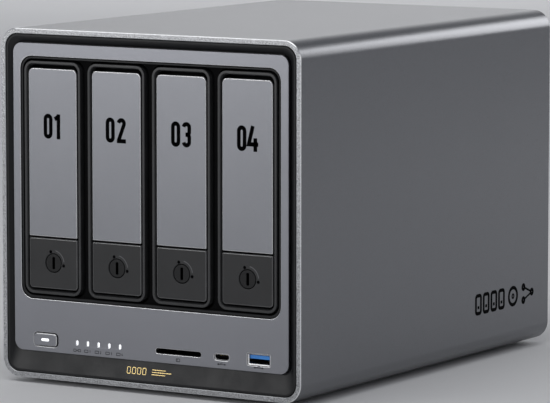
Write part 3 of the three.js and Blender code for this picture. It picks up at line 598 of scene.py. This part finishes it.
def power_button():
    box = Box("power_button")
    cap = centred(box.x, box.z, 14.1, 6.5, 1.9, steps=8)
    bar = centred(box.x, box.z, 4.7, 1.3, 0.64, steps=6)
    front, flange = box.y0, -125.2
    top, well = cap.grown(-0.45).at(front), bar.grown(0.1)
    s = Solid()
    s.face(top, [well.at(front)])
    # the bevel round the key's top is in the lighter edge metal, a painted highlight
    s.wall([top, cap.grown(-0.04).at(front + 0.4)], 1)
    s.wall([cap.grown(-0.04).at(front + 0.4), cap.at(front + 0.5), cap.at(flange + 0.1)])
    s.wall([well.at(front), well.at(flange + 0.1)])
    s.plate(centred(box.x, box.z, 16.4, 7.9, 1), flange, flange + 1, 0.15, 0.15)
    s.plate(Round(box.x, box.z, 1.6), flange + 0.9, box.y1, 0, 0.2)
    s.made("power_key", "power_button", [FACE, HIGHLIGHT_EDGE], ["power_button"])
    s = Solid()
    s.plate(bar, front + 0.04, flange - 0.1, 0.1, 0)
    s.made("power_light_bar", "power_button", [WHITE_GLOW])


def light_pipes():
    box = Box("status_light_pipes")
    s = Solid()
    for x in LIGHTS:
        s.plate(centred(x, LIGHT_Z, 0.95, 2.1, 0.46, steps=5), box.y0 + 0.2, -124.9, 0.15, 0, steps=2)
    s.made("status_lights", "case", [WHITE_GLOW], ["status_light_pipes"])
    s = Solid()
    s.block(LIGHTS[0] - 2, LIGHTS[-1] + 2, -125, box.y1, box.z0, box.z1, 0.3)
    s.made("light_pipe_carrier", "case", [LENS])


SOCKET_LEG = -120.6  # where the foot of a front socket starts, behind the faceplate


def shell(s, outline, inner, front, back):
    """A socket shell with a flared mouth, open at the front and closed at the back; the mouth is drawn in a
    lighter nickel as a painted highlight.
    """
    lip, flare, highlight_depth, end = 0.12, 0.5, 1.2, back - 0.6
    s.wall([outline.at(back), outline.at(front + lip)])
    s.wall([outline.at(front + lip), outline.grown(-lip).at(front), outline.grown(-2 * lip).at(front),
            inner.at(front + flare), inner.at(front + highlight_depth)], 1)
    s.wall([inner.at(front + highlight_depth), inner.at(end)])
    s.face(outline.at(back))
    s.face(inner.at(end))


def usb_a_socket():
    box = Box("usb_a_port")
    x, z = box.x, LIGHT_Z
    s = Solid()
    mouth = Rect(x - 5.9, x + 6.2, z - 2.15, z + 2.55, 0.4, steps=4)
    shell(s, centred(x, z, 13.1, 5.7, 0.6, steps=4), mouth, box.y0, box.y1)
    s.block(x - 5, x + 5, SOCKET_LEG, box.y1 - 0.2, 19, z - 2.7, 0.2)
    s.made("usb_a_shell", "case", [NICKEL, NICKEL_LIP_HIGHLIGHT], ["usb_a_port"])
    s = Solid()
    s.plate(centred(x + 0.2, z + 1.3, 11.2, 1.8, 0.25), box.y0 + 0.5, box.y1 - 0.7, 0.15, 0)
    s.plate(centred(x + 0.2, z + 0.3, 11.7, 4.3, 0.2), box.y0 + 9.5, box.y1 - 0.65, 0, 0, material=1)
    for i in range(4):
        u = x + (i - 1.5) * 2.2
        s.block(u - 0.3, u + 0.7, box.y0 + 1.5, box.y0 + 9.6, z + 0.28, z + 0.46, 0.05, 2)
    s.made("usb_a_tongue", "case", [USB_BLUE, INNER_BLACK_AND_SHADE, GOLD])


def usb_c_socket():
    box = Box("usb_c_port")
    x, z = box.x, USB_C_Z
    s = Solid()
    mouth = Rect(x - 3.9, x + 4.15, z - 1.05, z + 1.3, 1.15, steps=8)
    shell(s, centred(x, z, 8.9, 3.2, 1.58, steps=8), mouth, box.y0, box.y1)
    s.block(x - 4.2, x + 4.2, SOCKET_LEG, box.y1 - 0.2, 19, z - 1.4, 0.2)
    s.made("usb_c_shell", "case", [NICKEL, NICKEL_LIP_HIGHLIGHT], ["usb_c_port"])
    s = Solid()
    z += 0.12
    s.plate(centred(x, z, 6.5, 0.7, 0.3), box.y0 + 0.9, box.y1 - 0.7, 0.1, 0)
    s.plate(centred(x + 0.1, z, 7.9, 2.2, 1.05), box.y0 + 5.5, box.y1 - 0.65, 0, 0)
    for side in (-0.35, 0.35):
        for i in range(12):
            u = x + (i - 5.5) * 0.5
            s.block(u - 0.12, u + 0.12, box.y0 + 2.4, box.y0 + 5.6, z + side - 0.03, z + side + 0.03, 0.02, 1)
    s.made("usb_c_tongue", "case", [INNER_BLACK_AND_SHADE, GOLD])


# --- trays

RIM = 1.3
COVER_EDGE = 0.42
LOCK_Z = 62.1
PANEL_DROP = 0.85  # how far the latch panel's finished face runs down past its CAD node's


def tray(bay):
    """The moulded tray: front bezel with its moat, drive rails, runners and the side web."""
    box, lever = Box(f"tray_{bay}_sled"), Box(f"tray_{bay}_handle_lever")
    x = (lever.x0 + lever.x1) / 2
    front, back, end, floor = box.y0, box.y0 + 8.1, box.y1, -121.6
    moat, shadow = front + 1.6, front + 3.4
    outer = Rect(x - 17.1, x + 17.1, box.z0, box.z1, 5, steps=10)
    pocket = Rect(x - 15, x + 15, box.z0 + 2, box.z1 - 2, 2.9, steps=10)
    holes = [centred(x, 87.25 + 13 * row, 22, 6.5, 1.2, steps=4) for row in range(5)]
    holes.append(Round(x, LOCK_Z, 6.2))
    s = Solid()
    s.wall(edge_rings(outer, front, back, 0.3, 0)[::-1]
           + [outer.grown(-RIM).at(front), outer.grown(-RIM - 0.2).at(front + 0.25), pocket.at(moat)])
    s.wall([pocket.at(moat), pocket.at(shadow)])
    # painted shade: from the shadow depth back, the moat's walls and the pocket's floor are in the near-black
    # inner material
    s.wall([pocket.at(shadow), pocket.at(floor)], 1)
    for outline, y, material in ((pocket, floor, 1), (outer, back, 0)):
        s.face(outline.at(y), [hole.at(y) for hole in holes], material)
    for hole in holes:
        s.wall([hole.at(floor), hole.at(back)])
    # the lower and the upper rail: its faces, its runner's, and which of its faces has the ribs
    for low, high, run_low, run_high, inner in ((49.4, 53.9, box.z0 + FIT, 49.6, 53.9),
                                                (156.5, 161, 160.8, box.z1 - FIT, 156.5)):
        s.block(x - 15, x + 15, back - 0.1, end, low, high, 0.5)
        s.block(x - 3, x + 3, back - 0.1, end, run_low, run_high, 0.4)
        for step in range(6):
            y = back + 14 + 24 * step
            s.block(x - 14, x + 12.5, y, y + 1.6, inner - 0.25, inner + 0.25, 0.1)
    panels = [Rect(y, y + 24, z, z + 22, 3, steps=4, axis="x")
              for y in (-104, -70, -36, -2) for z in (60, 94, 128)]
    web = Rect(back - 0.1, end, 49.6, 160.8, 0.3, steps=2, axis="x")
    outside, inside, sunk = x - 16.6, x - 14.9, 0.6
    s.face(web.grown(-0.2).at(outside), [p.grown(0.2).at(outside) for p in panels])
    for panel in panels:
        bottom = panel.grown(-0.1).at(outside + sunk)
        s.wall([panel.grown(0.2).at(outside), panel.at(outside + 0.2), bottom])
        s.face(bottom)
    s.wall(edge_rings(web, outside, inside, 0.2, 0.2, 2))
    s.face(web.grown(-0.2).at(inside))
    s.made(f"tray_{bay}_moulding", f"tray_{bay}", [TRAY_BLACK, INNER_BLACK_AND_SHADE],
           [f"tray_{bay}_sled"])


def stroke_arc(cx, cz, rx, rz, start, end, steps=10):
    """Points of an elliptical arc, in degrees anticlockwise from +X."""
    angles = [radians(start + (end - start) * i / steps) for i in range(steps + 1)]
    return [Vector((cx + rx * cos(a), cz + rz * sin(a))) for a in angles]


def numeral_strokes(digit, h, end):
    """Centre lines of a narrow, plain numeral from 0 to h; end is how far a flat end runs past."""
    w = 1.66
    if digit == 0:
        return [(stroke_arc(0, h - w, w, w, 0, 180) + stroke_arc(0, w, w, w, 180, 360), True)]
    if digit == 1:
        return [([(-1.55, h - 1.55), (0.7, h - 0.15)], False), ([(0.75, h + end), (0.75, -end)], False)]
    if digit == 2:
        return [(stroke_arc(0, h - w, w, w, 172, -22) + [(-w, 0.3)], False),
                ([(-w - end, 0), (w + end, 0)], False)]
    if digit == 3:
        r, m = 1.4, h / 2
        middle = [(-0.55, m)]
        upper = stroke_arc(0, h - w, w, w, 172, 0) + stroke_arc(w - r, m + r, r, r, 0, -90, 6) + middle
        lower = middle + stroke_arc(w - r, m - r, r, r, 90, 0, 6) + stroke_arc(0, w, w, w, 0, -172)
        return [(upper, False), (lower, False)]
    return [([(0.1, h + end), (-2.3, 2.5), (3.2, 2.5)], False), ([(1.5, 5.6), (1.5, -end)], False)]


NUMERAL_PLACES = {1: (-2.75, 2.85), 2: (-3.6, 3.1), 3: (-3.2, 3.15), 4: (-3.25, 3.1)}


def numerals(bay):
    """The bay number, 01 to 04, printed on the handle cover."""
    cover = Box(f"tray_{bay}_handle_cover")
    stroke, height, bottom = 2.12, 10.5, 126.27
    s = Solid()
    for digit, offset in zip((0, bay), NUMERAL_PLACES[bay]):
        corner = Vector((cover.x + offset, bottom))
        for points, closed in numeral_strokes(digit, height, stroke / 2):
            moved = [Vector(p) + corner for p in points]
            s.ribbon(moved, stroke, (cover.y0 - 0.03, cover.y0 + 0.05), closed)
    s.made(f"bay_number_{bay}", f"handle_{bay}", [PRINT])


def handle(bay):
    cover = Box(f"tray_{bay}_handle_cover")
    s = Solid()
    # the cover's rounded rim is in the lighter edge metal, a painted highlight
    s.plate(cover.outline(2.8, 0.5, steps=10), cover.y0, cover.y1, COVER_EDGE, 0.15, steps=4, edge=1)
    s.made(f"handle_{bay}_cover", f"handle_{bay}", [COVER, HIGHLIGHT_EDGE],
           [f"tray_{bay}_handle_cover"])
    keep(TRAY_BLACK, 0.25, f"tray_{bay}_handle_lever")
    numerals(bay)


def latch(bay):
    """The dark push panel with its key lock, and the marks of the lock's two positions."""
    box, lock = Box(f"tray_{bay}_latch"), Box(f"tray_{bay}_lock")
    x, z = box.x, LOCK_Z
    bore = Round(x, z, 4.9, steps=40)
    panel_back = box.y0 + 3.4
    panel = Rect(box.x0, box.x1, box.z0 - PANEL_DROP, box.z1, 0.6, 1.9, steps=8)
    s = Solid()
    # the panel's rounded rim is in the lighter edge plastic, a painted highlight
    s.plate(panel, box.y0, panel_back, 0.45, 0.15, [bore], edge=1, steps=4)
    boss = Round(x, z, 5.8, steps=40)
    s.wall([boss.at(panel_back - 0.1), boss.at(box.y1), bore.at(box.y1), bore.at(panel_back - 0.1)])
    s.made(f"latch_{bay}_panel", f"latch_{bay}", [LATCH_GREY, LATCH_EDGE_HIGHLIGHT],
           [f"tray_{bay}_latch"])

    face, back = lock.y0, -118.5
    barrel = Round(x, z, 4.65, steps=40)
    keyway = centred(x, z, 1.5, 6.2, 0.5, steps=4)
    s = Solid()
    s.face(barrel.grown(-0.3).at(face), [keyway.grown(0.12).at(face)])
    s.wall(edge_rings(barrel, face, back, 0.3, 0.1))
    s.face(barrel.grown(-0.1).at(back))
    s.wall([keyway.grown(0.12).at(face), keyway.at(face + 0.15)])
    # painted shade: past its mouth the keyway's walls and end are in the near-black inner material
    s.wall([keyway.at(face + 0.15), keyway.at(face + 6)], 1)
    s.face(keyway.at(face + 6), material=1)
    s.plate(Rect(x - 2.2, x + 2.2, z - 2.2, z + 7.4, 1.6, steps=4), back - 0.1, lock.y1, 0.1, 0.15)
    s.made(f"lock_{bay}_cylinder", f"lock_{bay}", [LOCK_BLACK, INNER_BLACK_AND_SHADE],
           [f"tray_{bay}_lock"])

    surface = (box.y0 - 0.03, box.y0 + 0.05)
    s = Solid()
    for u, v in ((-1.6, 5.75), (6.25, -1.0)):
        s.plate(Round(x + u, z + v, 0.85, steps=16), *surface, 0, 0)
    s.made(f"lock_dots_{bay}", f"latch_{bay}", [PRINT])
    s = Solid()
    s.ribbon(stroke_arc(x, z, 6.55, 6.55, 78, 8, 14), 0.45, surface)
    s.made(f"lock_arc_{bay}", f"latch_{bay}", [ARC_PRINT])


# --- prints

def side_mark():
    """Generic pictograms on the right side: four drive bays, a disc and three linked dots."""
    surface, place = Box("outer_sleeve").x1, AXES["x"]
    depths = (surface + 0.03, surface - 0.05)
    bottom, top, line, thin = 25.0, 35.8, 1.9, 1.1
    middle = (bottom + top) / 2
    s = Solid()
    for i in range(4):
        u = 47.8 + 8.4 * i
        s.ring(Rect(u, u + 5.4, bottom + 0.7, top - 0.7, 1.4, steps=4), line, depths, place)
        s.ribbon([(u + 2.7, bottom + 3), (u + 2.7, bottom + 4.6)], line, depths, place=place)
    s.ring(Round(88.5, middle, 4.6, 28), line, depths, place)
    s.ring(Round(88.5, middle, 1.0, 16), thin, depths, place)
    dots = [Vector((100.2, bottom + 1.9)), Vector((100.2, top - 1.9)), Vector((109.6, middle))]
    for dot in dots:
        s.ring(Round(*dot, 1.2, 16), line, depths, place)
    for dot in dots[:2]:
        gap = (dots[2] - dot).normalized() * 1.6
        s.ribbon([dot + gap, dots[2] - gap], thin, depths, place=place)
    s.made("side_pictograms", "case", [PRINT])


def slope_mark():
    """A small gold row of bars on the frame's lower slope, which faces down and out."""
    box, plate = Box("front_frame"), Box("faceplate")
    low_y, low_z = box.y0, box.z0 + FRAME_LIP
    up = Vector((0, SLOPE_DEPTH, plate.z0 - FIT - low_z))
    middle = up.length / 2 - 0.25
    up.normalize()
    normal = Vector((0, -up.z, up.y))

    def place(u, v, depth):
        return Vector((u, low_y, low_z)) + up * v + normal * depth

    depths = (0.04, -0.05)
    s = Solid()
    for i in range(4):
        u = -13.6 + 3.1 * i
        s.ring(Rect(u, u + 1.9, middle - 1.6, middle + 1.6, 0.5, steps=4), 0.32, depths, place)
    for row in (-1.2, 0, 1.2):
        s.ribbon([(1.2, middle + row), (12.8 - abs(row) * 3, middle + row)], 0.34, depths, place=place)
    s.made("slope_pictogram", "case", [GOLD_PRINT])


def caption_marks():
    """Small signs under the lights and sockets: a link, four numbered drives, sockets."""
    front = Box("faceplate").y0
    surface = (front - 0.02, front + 0.05)
    z, line = 18.75, 0.26
    s = Solid()

    def sign(x0, x1, z0, z1, radius):
        s.ring(Rect(x0, x1, z0, z1, radius, steps=4), line, surface)

    link, *drives = LIGHTS
    sign(link - 2.1, link - 0.6, z - 0.6, z + 0.6, 0.2)
    sign(link + 0.6, link + 2.1, z - 0.6, z + 0.6, 0.2)
    s.ribbon([(link - 0.5, z), (link + 0.5, z)], line, surface)
    for digit, x in enumerate(drives, 1):
        sign(x - 2.1, x + 0.1, z - 0.6, z + 0.6, 0.25)
        corner = Vector((x + 1.3, z - 0.55))
        for points, closed in numeral_strokes(digit, 10.75, 0.89):
            s.ribbon([Vector(p) * 0.1 + corner for p in points], line * 0.9, surface, closed)
    sign(16.3, 18.4, 18.0, 19.4, 0.3)
    s.ribbon([(16.9, 18.5), (16.9, 19.2)], line, surface)
    z = 18.7
    for x, width in ((Box("usb_c_port").x, 3.8), (Box("usb_a_port").x, 4.4)):
        left, right = x - width / 2, x + width / 2
        s.ribbon([(left, z), (right, z)], line, surface)
        s.plate(Round(left, z, 0.45, steps=12), *surface, 0, 0)
        s.plate(centred(right, z, 0.7, 0.7, 0.05), *surface, 0, 0)
        s.ribbon([(x - 0.9, 18.8), (x - 0.2, 19.4), (x + 0.7, 19.4)], line * 0.8, surface)
    s.made("caption_signs", "case", [PRINT])


# --- rear

def screw_head(s, x, z, y, radius=2.6, outwards=1):
    """A pan-head cross-recess screw whose seat is at y; the recess is a near-black cross laid on the dome,
    painted shade in place of a hollow.
    """
    rings = []
    for step in range(1, 5):
        a = pi / 2 * step / 4
        dome = Round(x, z, radius * sin(a) * 0.999 + 0.02, steps=20)
        rings.append(dome.at(y + outwards * 1.1 * cos(a)))
    rings.append(Round(x, z, radius, steps=20).at(y - outwards * 0.3))
    s.closed(rings)
    long, short = radius * 0.55, 0.28
    # painted shade: the cross recess is a thin near-black cross standing on the dome
    for half_x, half_z in ((short, long), (long, short)):
        s.block(x - half_x, x + half_x, y + outwards * 0.9, y + outwards * 1.12,
                z - half_z, z + half_z, 0.05, 1)


def rear_panel():
    box, fan_box, reset = Box("rear_panel"), Box("fan_frame"), Box("reset_button")
    holes = [Round((fan_box.x0 + fan_box.x1) / 2, fan_box.z, 66, steps=96)]
    holes += [Box(node).outline(0.1, steps=3).grown(FIT)
              for node in ("lan_jacks", "rear_usb_stack", "hdmi_port", "dc_inlet")]
    holes.append(Round(reset.x, reset.z, 1.4, steps=20))
    s = Solid()
    s.plate(box.outline(7, steps=10), box.y0, box.y1, 0.1, 0.15, holes, steps=2)
    s.made("rear_plate", "case", [POWDER], ["rear_panel"])
    s = Solid()
    for x, z in ((-79.5, 12), (79.5, 12), (-80, 95), (80, 95), (-36, 12), (44, 12)):
        screw_head(s, x, z, box.y1)
    s.made("rear_screws", "case", [ZINC, INNER_BLACK_AND_SHADE])


def dust_filter():
    """A moulded frame with a woven screen behind its bars."""
    box = Box("dust_filter")
    border, bar, columns, rows = 7, 2.4, 8, 5
    width = (box.x1 - box.x0 - 2 * border - bar * (columns - 1)) / columns
    height = (box.z1 - box.z0 - 2 * border - bar * (rows - 1)) / rows
    holes = [Rect(x, x + width, z, z + height, 1.2, steps=3)
             for x in (box.x0 + border + i * (width + bar) for i in range(columns))
             for z in (box.z0 + border + i * (height + bar) for i in range(rows))]
    s = Solid()
    s.plate(box.outline(6, steps=8), box.y1, box.y0 + 0.5, 0.4, 0.1, holes, steps=2)
    s.made("filter_frame", "dust_filter", [BLACK], ["dust_filter"])
    s = Solid()
    pitch, wire = 1.6, 0.3
    low_x, high_x, low_z, high_z = box.x0 + 4, box.x1 - 4, box.z0 + 4, box.z1 - 4
    for i in range(int((high_x - low_x) / pitch) + 1):
        x = low_x + i * pitch
        s.plate(Rect(x, x + wire, low_z, high_z, 0.02, steps=1), box.y0 + 0.15, box.y0 + 0.4, 0, 0)
    for i in range(int((high_z - low_z) / pitch) + 1):
        z = low_z + i * pitch
        s.plate(Rect(low_x, high_x, z, z + wire, 0.02, steps=1), box.y0 + 0.05, box.y0 + 0.3, 0, 0)
    s.made("filter_screen", "dust_filter", [FAN_BLACK])


def fan():
    """Rotor with nine swept, twisted blades on a cup hub."""
    frame_box, rotor = Box("fan_frame"), Box("fan_rotor")
    z0, front, back = frame_box.z, rotor.y0, rotor.y1
    hub_radius, tip, blades = 22.0, 65.2, 9
    middle_y, margin, lift = 112, 1.2, 1.3
    hub = Round(0, z0, hub_radius, steps=64)
    s = Solid()
    s.wall(edge_rings(hub, front, back, 0.4, 1.6, steps=5))
    s.face(hub.grown(-0.4).at(front))
    s.face(hub.grown(-1.6).at(back))
    sections, around = 9, 8
    for blade in range(blades):
        rings = []
        for i in range(sections):
            t = i / (sections - 1)
            radius = hub_radius - 1 + (tip - hub_radius + 1) * t
            pitch = radians(52 - 20 * t)
            chord = 15 + 11 * t
            middle = 2 * pi * blade / blades + radians(24) * t * t
            ring = []
            for k in range(2 * around):
                side = 1 if k < around else -1
                u = side * ((k % around) / around * 2 - 1)
                thick = 0.9 * sqrt(max(0.02, 1 - u * u)) * (1 - 0.4 * t)
                along, off = chord / 2 * u, 1.6 * (1 - u * u) + side * thick
                tangent = along * cos(pitch) - off * sin(pitch)
                depth = along * sin(pitch) + off * cos(pitch)
                depth = max(front - middle_y + margin, min(back - middle_y - margin, depth))
                angle = middle + tangent / radius
                ring.append(Vector((radius * sin(angle), middle_y + depth + lift, z0 + radius * cos(angle))))
            rings.append(ring)
        s.closed(rings)
    s.made("fan_blades", "fan_rotor", [FAN_BLACK], ["fan_rotor"], sharp=50)
    s = Solid()
    s.plate(Round(0, z0, 15, steps=48), back + 0.06, back - 0.2, 0.05, 0)
    s.made("fan_hub_label", "fan_rotor", [LABEL_GREY])
    keep(FAN_BLACK, 0.4, "fan_frame")
    s = Solid()
    for sx in (-1, 1):
        for sz in (-1, 1):
            screw_head(s, sx * 62.5, z0 + sz * 62.5, frame_box.y0 - 0.1, 3.2, -1)
    s.made("fan_screws", "case", [ZINC, INNER_BLACK_AND_SHADE])


def lining(s, outline, mouth, end):
    """A thin dark sleeve with a closed end inside one of the rear sockets."""
    outer, inner = outline.grown(-0.05), outline.grown(-0.2)
    s.wall([inner.at(end + 0.2), inner.at(mouth), outer.at(mouth), outer.at(end + 0.05)])
    s.face(inner.at(end + 0.2))
    s.face(outer.at(end + 0.05))


def rear_sockets():
    """Linings, contacts, lights and tongues inside the rear sockets."""
    keep(NICKEL, 0.15, "lan_jacks", "rear_usb_stack", "hdmi_port")
    keep(INNER_BLACK_AND_SHADE, 0.2, "dc_inlet")
    keep(LATCH_GREY, 0.15, "reset_button")
    jack, usb, hdmi = Box("lan_jacks"), Box("rear_usb_stack"), Box("hdmi_port")
    jacks = [jack.x + side * 8.25 for side in (-1, 1)]
    decks = [usb.z + dz for dz in (-3.9, 3.9)]
    s = Solid()
    for x in jacks:
        for i in range(8):
            u = x + (i - 3.5) * 1.02
            bends = ((112, 4.6), (119, 4.2), (123.5, 2.4))
            s.tube([Vector((u, y, jack.z + dz)) for y, dz in bends], 0.18, 6)
        for light in (-4.6, 4.6):
            s.block(x + light - 1, x + light + 1, 125.2, 125.9, jack.z - 6.2, jack.z - 5, 0.15, 1)
    s.made("lan_contacts", "case", [GOLD, LENS])
    s = Solid()
    for z in decks:
        s.block(usb.x - 5.6, usb.x + 5.6, 124.2, 125.4, z + 0.5, z + 2.2, 0.2)
    s.made("rear_usb_tongues", "case", [USB_BLUE])
    s = Solid()
    for x in jacks:
        lining(s, Rect(x - 5.9, x + 5.9, jack.z - 3.4, jack.z + 5, 0.3, steps=2), jack.y1 - 0.5, 111)
    for z in decks:
        lining(s, Rect(usb.x - 6.3, usb.x + 6.3, z - 2.55, z + 0.35, 0.3, steps=2), usb.y1 - 1.3, 112)
    lining(s, centred(hdmi.x, hdmi.z, 14, 4.4, 0.3, steps=2), hdmi.y1 - 0.5, 114.5)
    s.made("rear_socket_linings", "case", [INNER_BLACK_AND_SHADE])


# --- underside

def foot(number):
    box = Box(f"foot_{number}")
    radius, height = (box.x1 - box.x0) / 2, box.z1 - box.z0
    profile = [(0.02, 0.35), (radius - 3.2, 0.35), (radius - 2.8, 0.02), (radius - 1.2, 0.0),
               (radius - 0.5, 0.25), (radius - 0.15, 0.8), (radius, height - 0.3), (radius - 0.1, height),
               (0.02, height)]
    s = Solid()
    s.closed([Round(box.x, box.y, r, steps=48, axis="z").at(box.z0 + z) for r, z in profile])
    s.made(f"foot_{number}_pad", "case", [RUBBER], [f"foot_{number}"])


def base_cover():
    box = Box("base_cover")
    slots = [Rect(-32, 32, y - 1.2, y + 1.2, 1.19, axis="z") for y in (box.y + 11 * i for i in range(-3, 4))]
    s = Solid()
    s.plate(Rect(box.x0, box.x1, box.y0, box.y1, 1.5, axis="z"), box.z0, box.z1, 0.15, 0.1, slots, steps=2)
    s.made("hatch_cover", "case", [POWDER], ["base_cover"])
    s = Solid()
    for x in (-44, 44):
        for y in (box.y0 + 6, box.y1 - 6):
            s.plate(Round(x, y, 2.6, steps=20, axis="z"), box.z0 - 0.05, box.z0 + 0.5, 0.2, 0, steps=2)
            # painted shade: each cross recess is a thin near-black cross laid on the screw head
            for half_x, half_y in ((1.4, 0.25), (0.25, 1.4)):
                cross = Rect(x - half_x, x + half_x, y - half_y, y + half_y, 0.1, axis="z")
                s.plate(cross, box.z0 - 0.09, box.z0 + 0.1, 0, 0, material=1)
    s.made("hatch_screws", "case", [ZINC, INNER_BLACK_AND_SHADE])


# --- inside

def insides():
    """The parts seen through the openings: boards with their chips, cage, and connectors."""
    keep(ZINC, 0.15, "chassis_base", "cage_side_left", "cage_side_right",
         "cage_divider_1", "cage_divider_2", "cage_divider_3")
    keep(INNER_BLACK_AND_SHADE, 0.2, "cage_floor", "cage_roof", "sd_card_reader")
    keep(BOARD, 0.08, "backplane_board", "mainboard", "memory_module", "front_io_board")
    keep(MILLED, 0.15, "cpu_heatsink")
    board, mainboard = Box("backplane_board"), Box("mainboard")
    rng = random.Random(7)
    s = Solid()
    for bay in BAYS:
        connector = Box(f"sata_connector_{bay}")
        keep(INNER_BLACK_AND_SHADE, 0.2, f"sata_connector_{bay}")
        for i in range(22):
            z = connector.z0 + 3 + i * 1.7
            s.block(connector.x - 0.75, connector.x - 0.55, connector.y0 + 0.4, connector.y0 + 5,
                    z, z + 0.9, 0.03, 1)
        for row in range(4):
            x = connector.x0 - 7 + rng.uniform(-0.8, 0.8)
            z = 60 + row * 10 + rng.uniform(-1.5, 1.5)
            s.block(x, x + rng.uniform(2, 4), board.y0 - 1, board.y0 + 0.05, z, z + rng.uniform(2, 4), 0.12)
    s.made("backplane_parts", "case", [CHIP, GOLD])
    seat = mainboard.z1 - 0.02
    s = Solid()
    for column in range(9):
        for row in range(5):
            x = -66 + column * 15 + rng.uniform(-2, 2)
            y = -52 + row * 22 + rng.uniform(-3, 3)
            wide, deep, tall = rng.uniform(1.5, 6), rng.uniform(1.5, 5), rng.uniform(0.6, 2.4)
            s.block(x, x + wide, y, y + deep, seat, mainboard.z1 + tall, 0.12)
    for i in range(6):
        can = Round(-66 + i * 9, 84 if i % 2 else 78, 3.1, steps=24, axis="z")
        s.plate(can, seat, mainboard.z1 + 7.5, 0, 0.5, material=1)
    s.block(-31, 31, 39.8, board.y0 - 0.2, seat, 26, 0.3)
    s.made("mainboard_parts", "case", [CHIP, MILLED])


# --- stage

# the camera fitted to the photograph's edges: degrees, metres, and millimetres for the lens
AZIMUTH, ELEVATION = radians(31.7546), radians(6.6049)
DISTANCE, TARGET = 2.11893, Vector((-0.005269, 0, 0.084126))
LENS_MM, SENSOR_MM = 264.31, 36.0

# name, position, the point it looks at, width, height, power in watts
LAMPS = (
    ("overhead_box", (-0.73, -0.29, 1.28), (0, -0.129, 0.1), 0.5, 0.5, 0.9),
    ("front_left_strip", (-0.68, -1.2, 0.34), (0, -0.128, 0.15), 0.5, 0.22, 3.0),
    ("back_right_strip", (0.52, 1.42, 0.58), (0, 0, 0.17), 0.7, 0.6, 4.2),
    ("right_box", (1.5, -0.95, 0.45), (0, 0, 0.1), 0.5, 0.9, 0.9),
    ("backdrop_wash", (-1.43, 4.04, 3.56), (-3.09, 6.89, 0.48), 3.3, 1.2, 128),
    ("floor_wash", (0.1, -0.9, 2.4), (0, -0.5, 0), 1.8, 1.8, 13),
)
WORLD_COLOR, WORLD_STRENGTH = (0.9, 0.93, 1.0, 1), 0.27


def stage():
    """A pale paper floor that sweeps up behind the object, square to the camera, and just below it."""
    half, back, rise, sweep, bends, below = 13.0, 7.6, 4.2, 2.4, 16, 0.0001
    mesh = bmesh.new()
    profile = [(-half, 0), (back - sweep, 0)]
    for i in range(1, bends + 1):
        a = pi / 2 * i / bends
        profile.append((back - sweep + sweep * sin(a), sweep - sweep * cos(a)))
    profile.append((back, rise))
    rows = [[mesh.verts.new((x, y, z - below)) for x in (-half, half)] for y, z in profile]
    for a, b in zip(rows, rows[1:]):
        mesh.faces.new((a[0], a[1], b[1], b[0]))
    data = bpy.data.meshes.new("backdrop")
    mesh.to_mesh(data)
    mesh.free()
    data.shade_smooth()
    n = Nodes("pale_paper", (0.87, 0.87, 0.875), 0.8, specular=0.2)
    n.shade(n.ranged(n.noise(400), 0.45, 0.55), 0.1)
    data.materials.append(n.material)
    floor = added("backdrop", data)
    floor.matrix_world = Matrix.Rotation(AZIMUTH, 4, "Z")


def aim(thing, position, direction):
    thing.location = position
    thing.rotation_mode = "QUATERNION"
    thing.rotation_quaternion = direction.to_track_quat("-Z", "Y")


def camera():
    data = bpy.data.cameras.new("camera")
    data.lens, data.sensor_width = LENS_MM, SENSOR_MM
    data.clip_start, data.clip_end = 0.05, 50
    eye = added("camera", data)
    back = Vector((sin(AZIMUTH) * cos(ELEVATION), -cos(AZIMUTH) * cos(ELEVATION), sin(ELEVATION)))
    aim(eye, TARGET + back * DISTANCE, -back)
    bpy.context.scene.camera = eye


def light():
    world = bpy.data.worlds.new("studio")
    world.use_nodes = True
    background = world.node_tree.nodes["Background"]
    background.inputs["Color"].default_value = WORLD_COLOR
    background.inputs["Strength"].default_value = WORLD_STRENGTH
    bpy.context.scene.world = world
    for name, position, target, width, height, power in LAMPS:
        lamp = bpy.data.lights.new(name, "AREA")
        lamp.shape = "RECTANGLE"
        lamp.size, lamp.size_y, lamp.energy = width, height, power
        aim(added(name, lamp), position, Vector(target) - Vector(position))


for build in (camera, light, stage, sleeve, front_frame, faceplate, bay_liner, power_button, light_pipes,
              usb_a_socket, usb_c_socket):
    build()
for bay in BAYS:
    tray(bay)
    handle(bay)
    latch(bay)
for build in (side_mark, slope_mark, caption_marks, rear_panel, dust_filter, fan, rear_sockets):
    build()
for number in (1, 2, 3, 4):
    foot(number)
base_cover()
insides()
bpy.context.scene.view_settings.view_transform = "Standard"
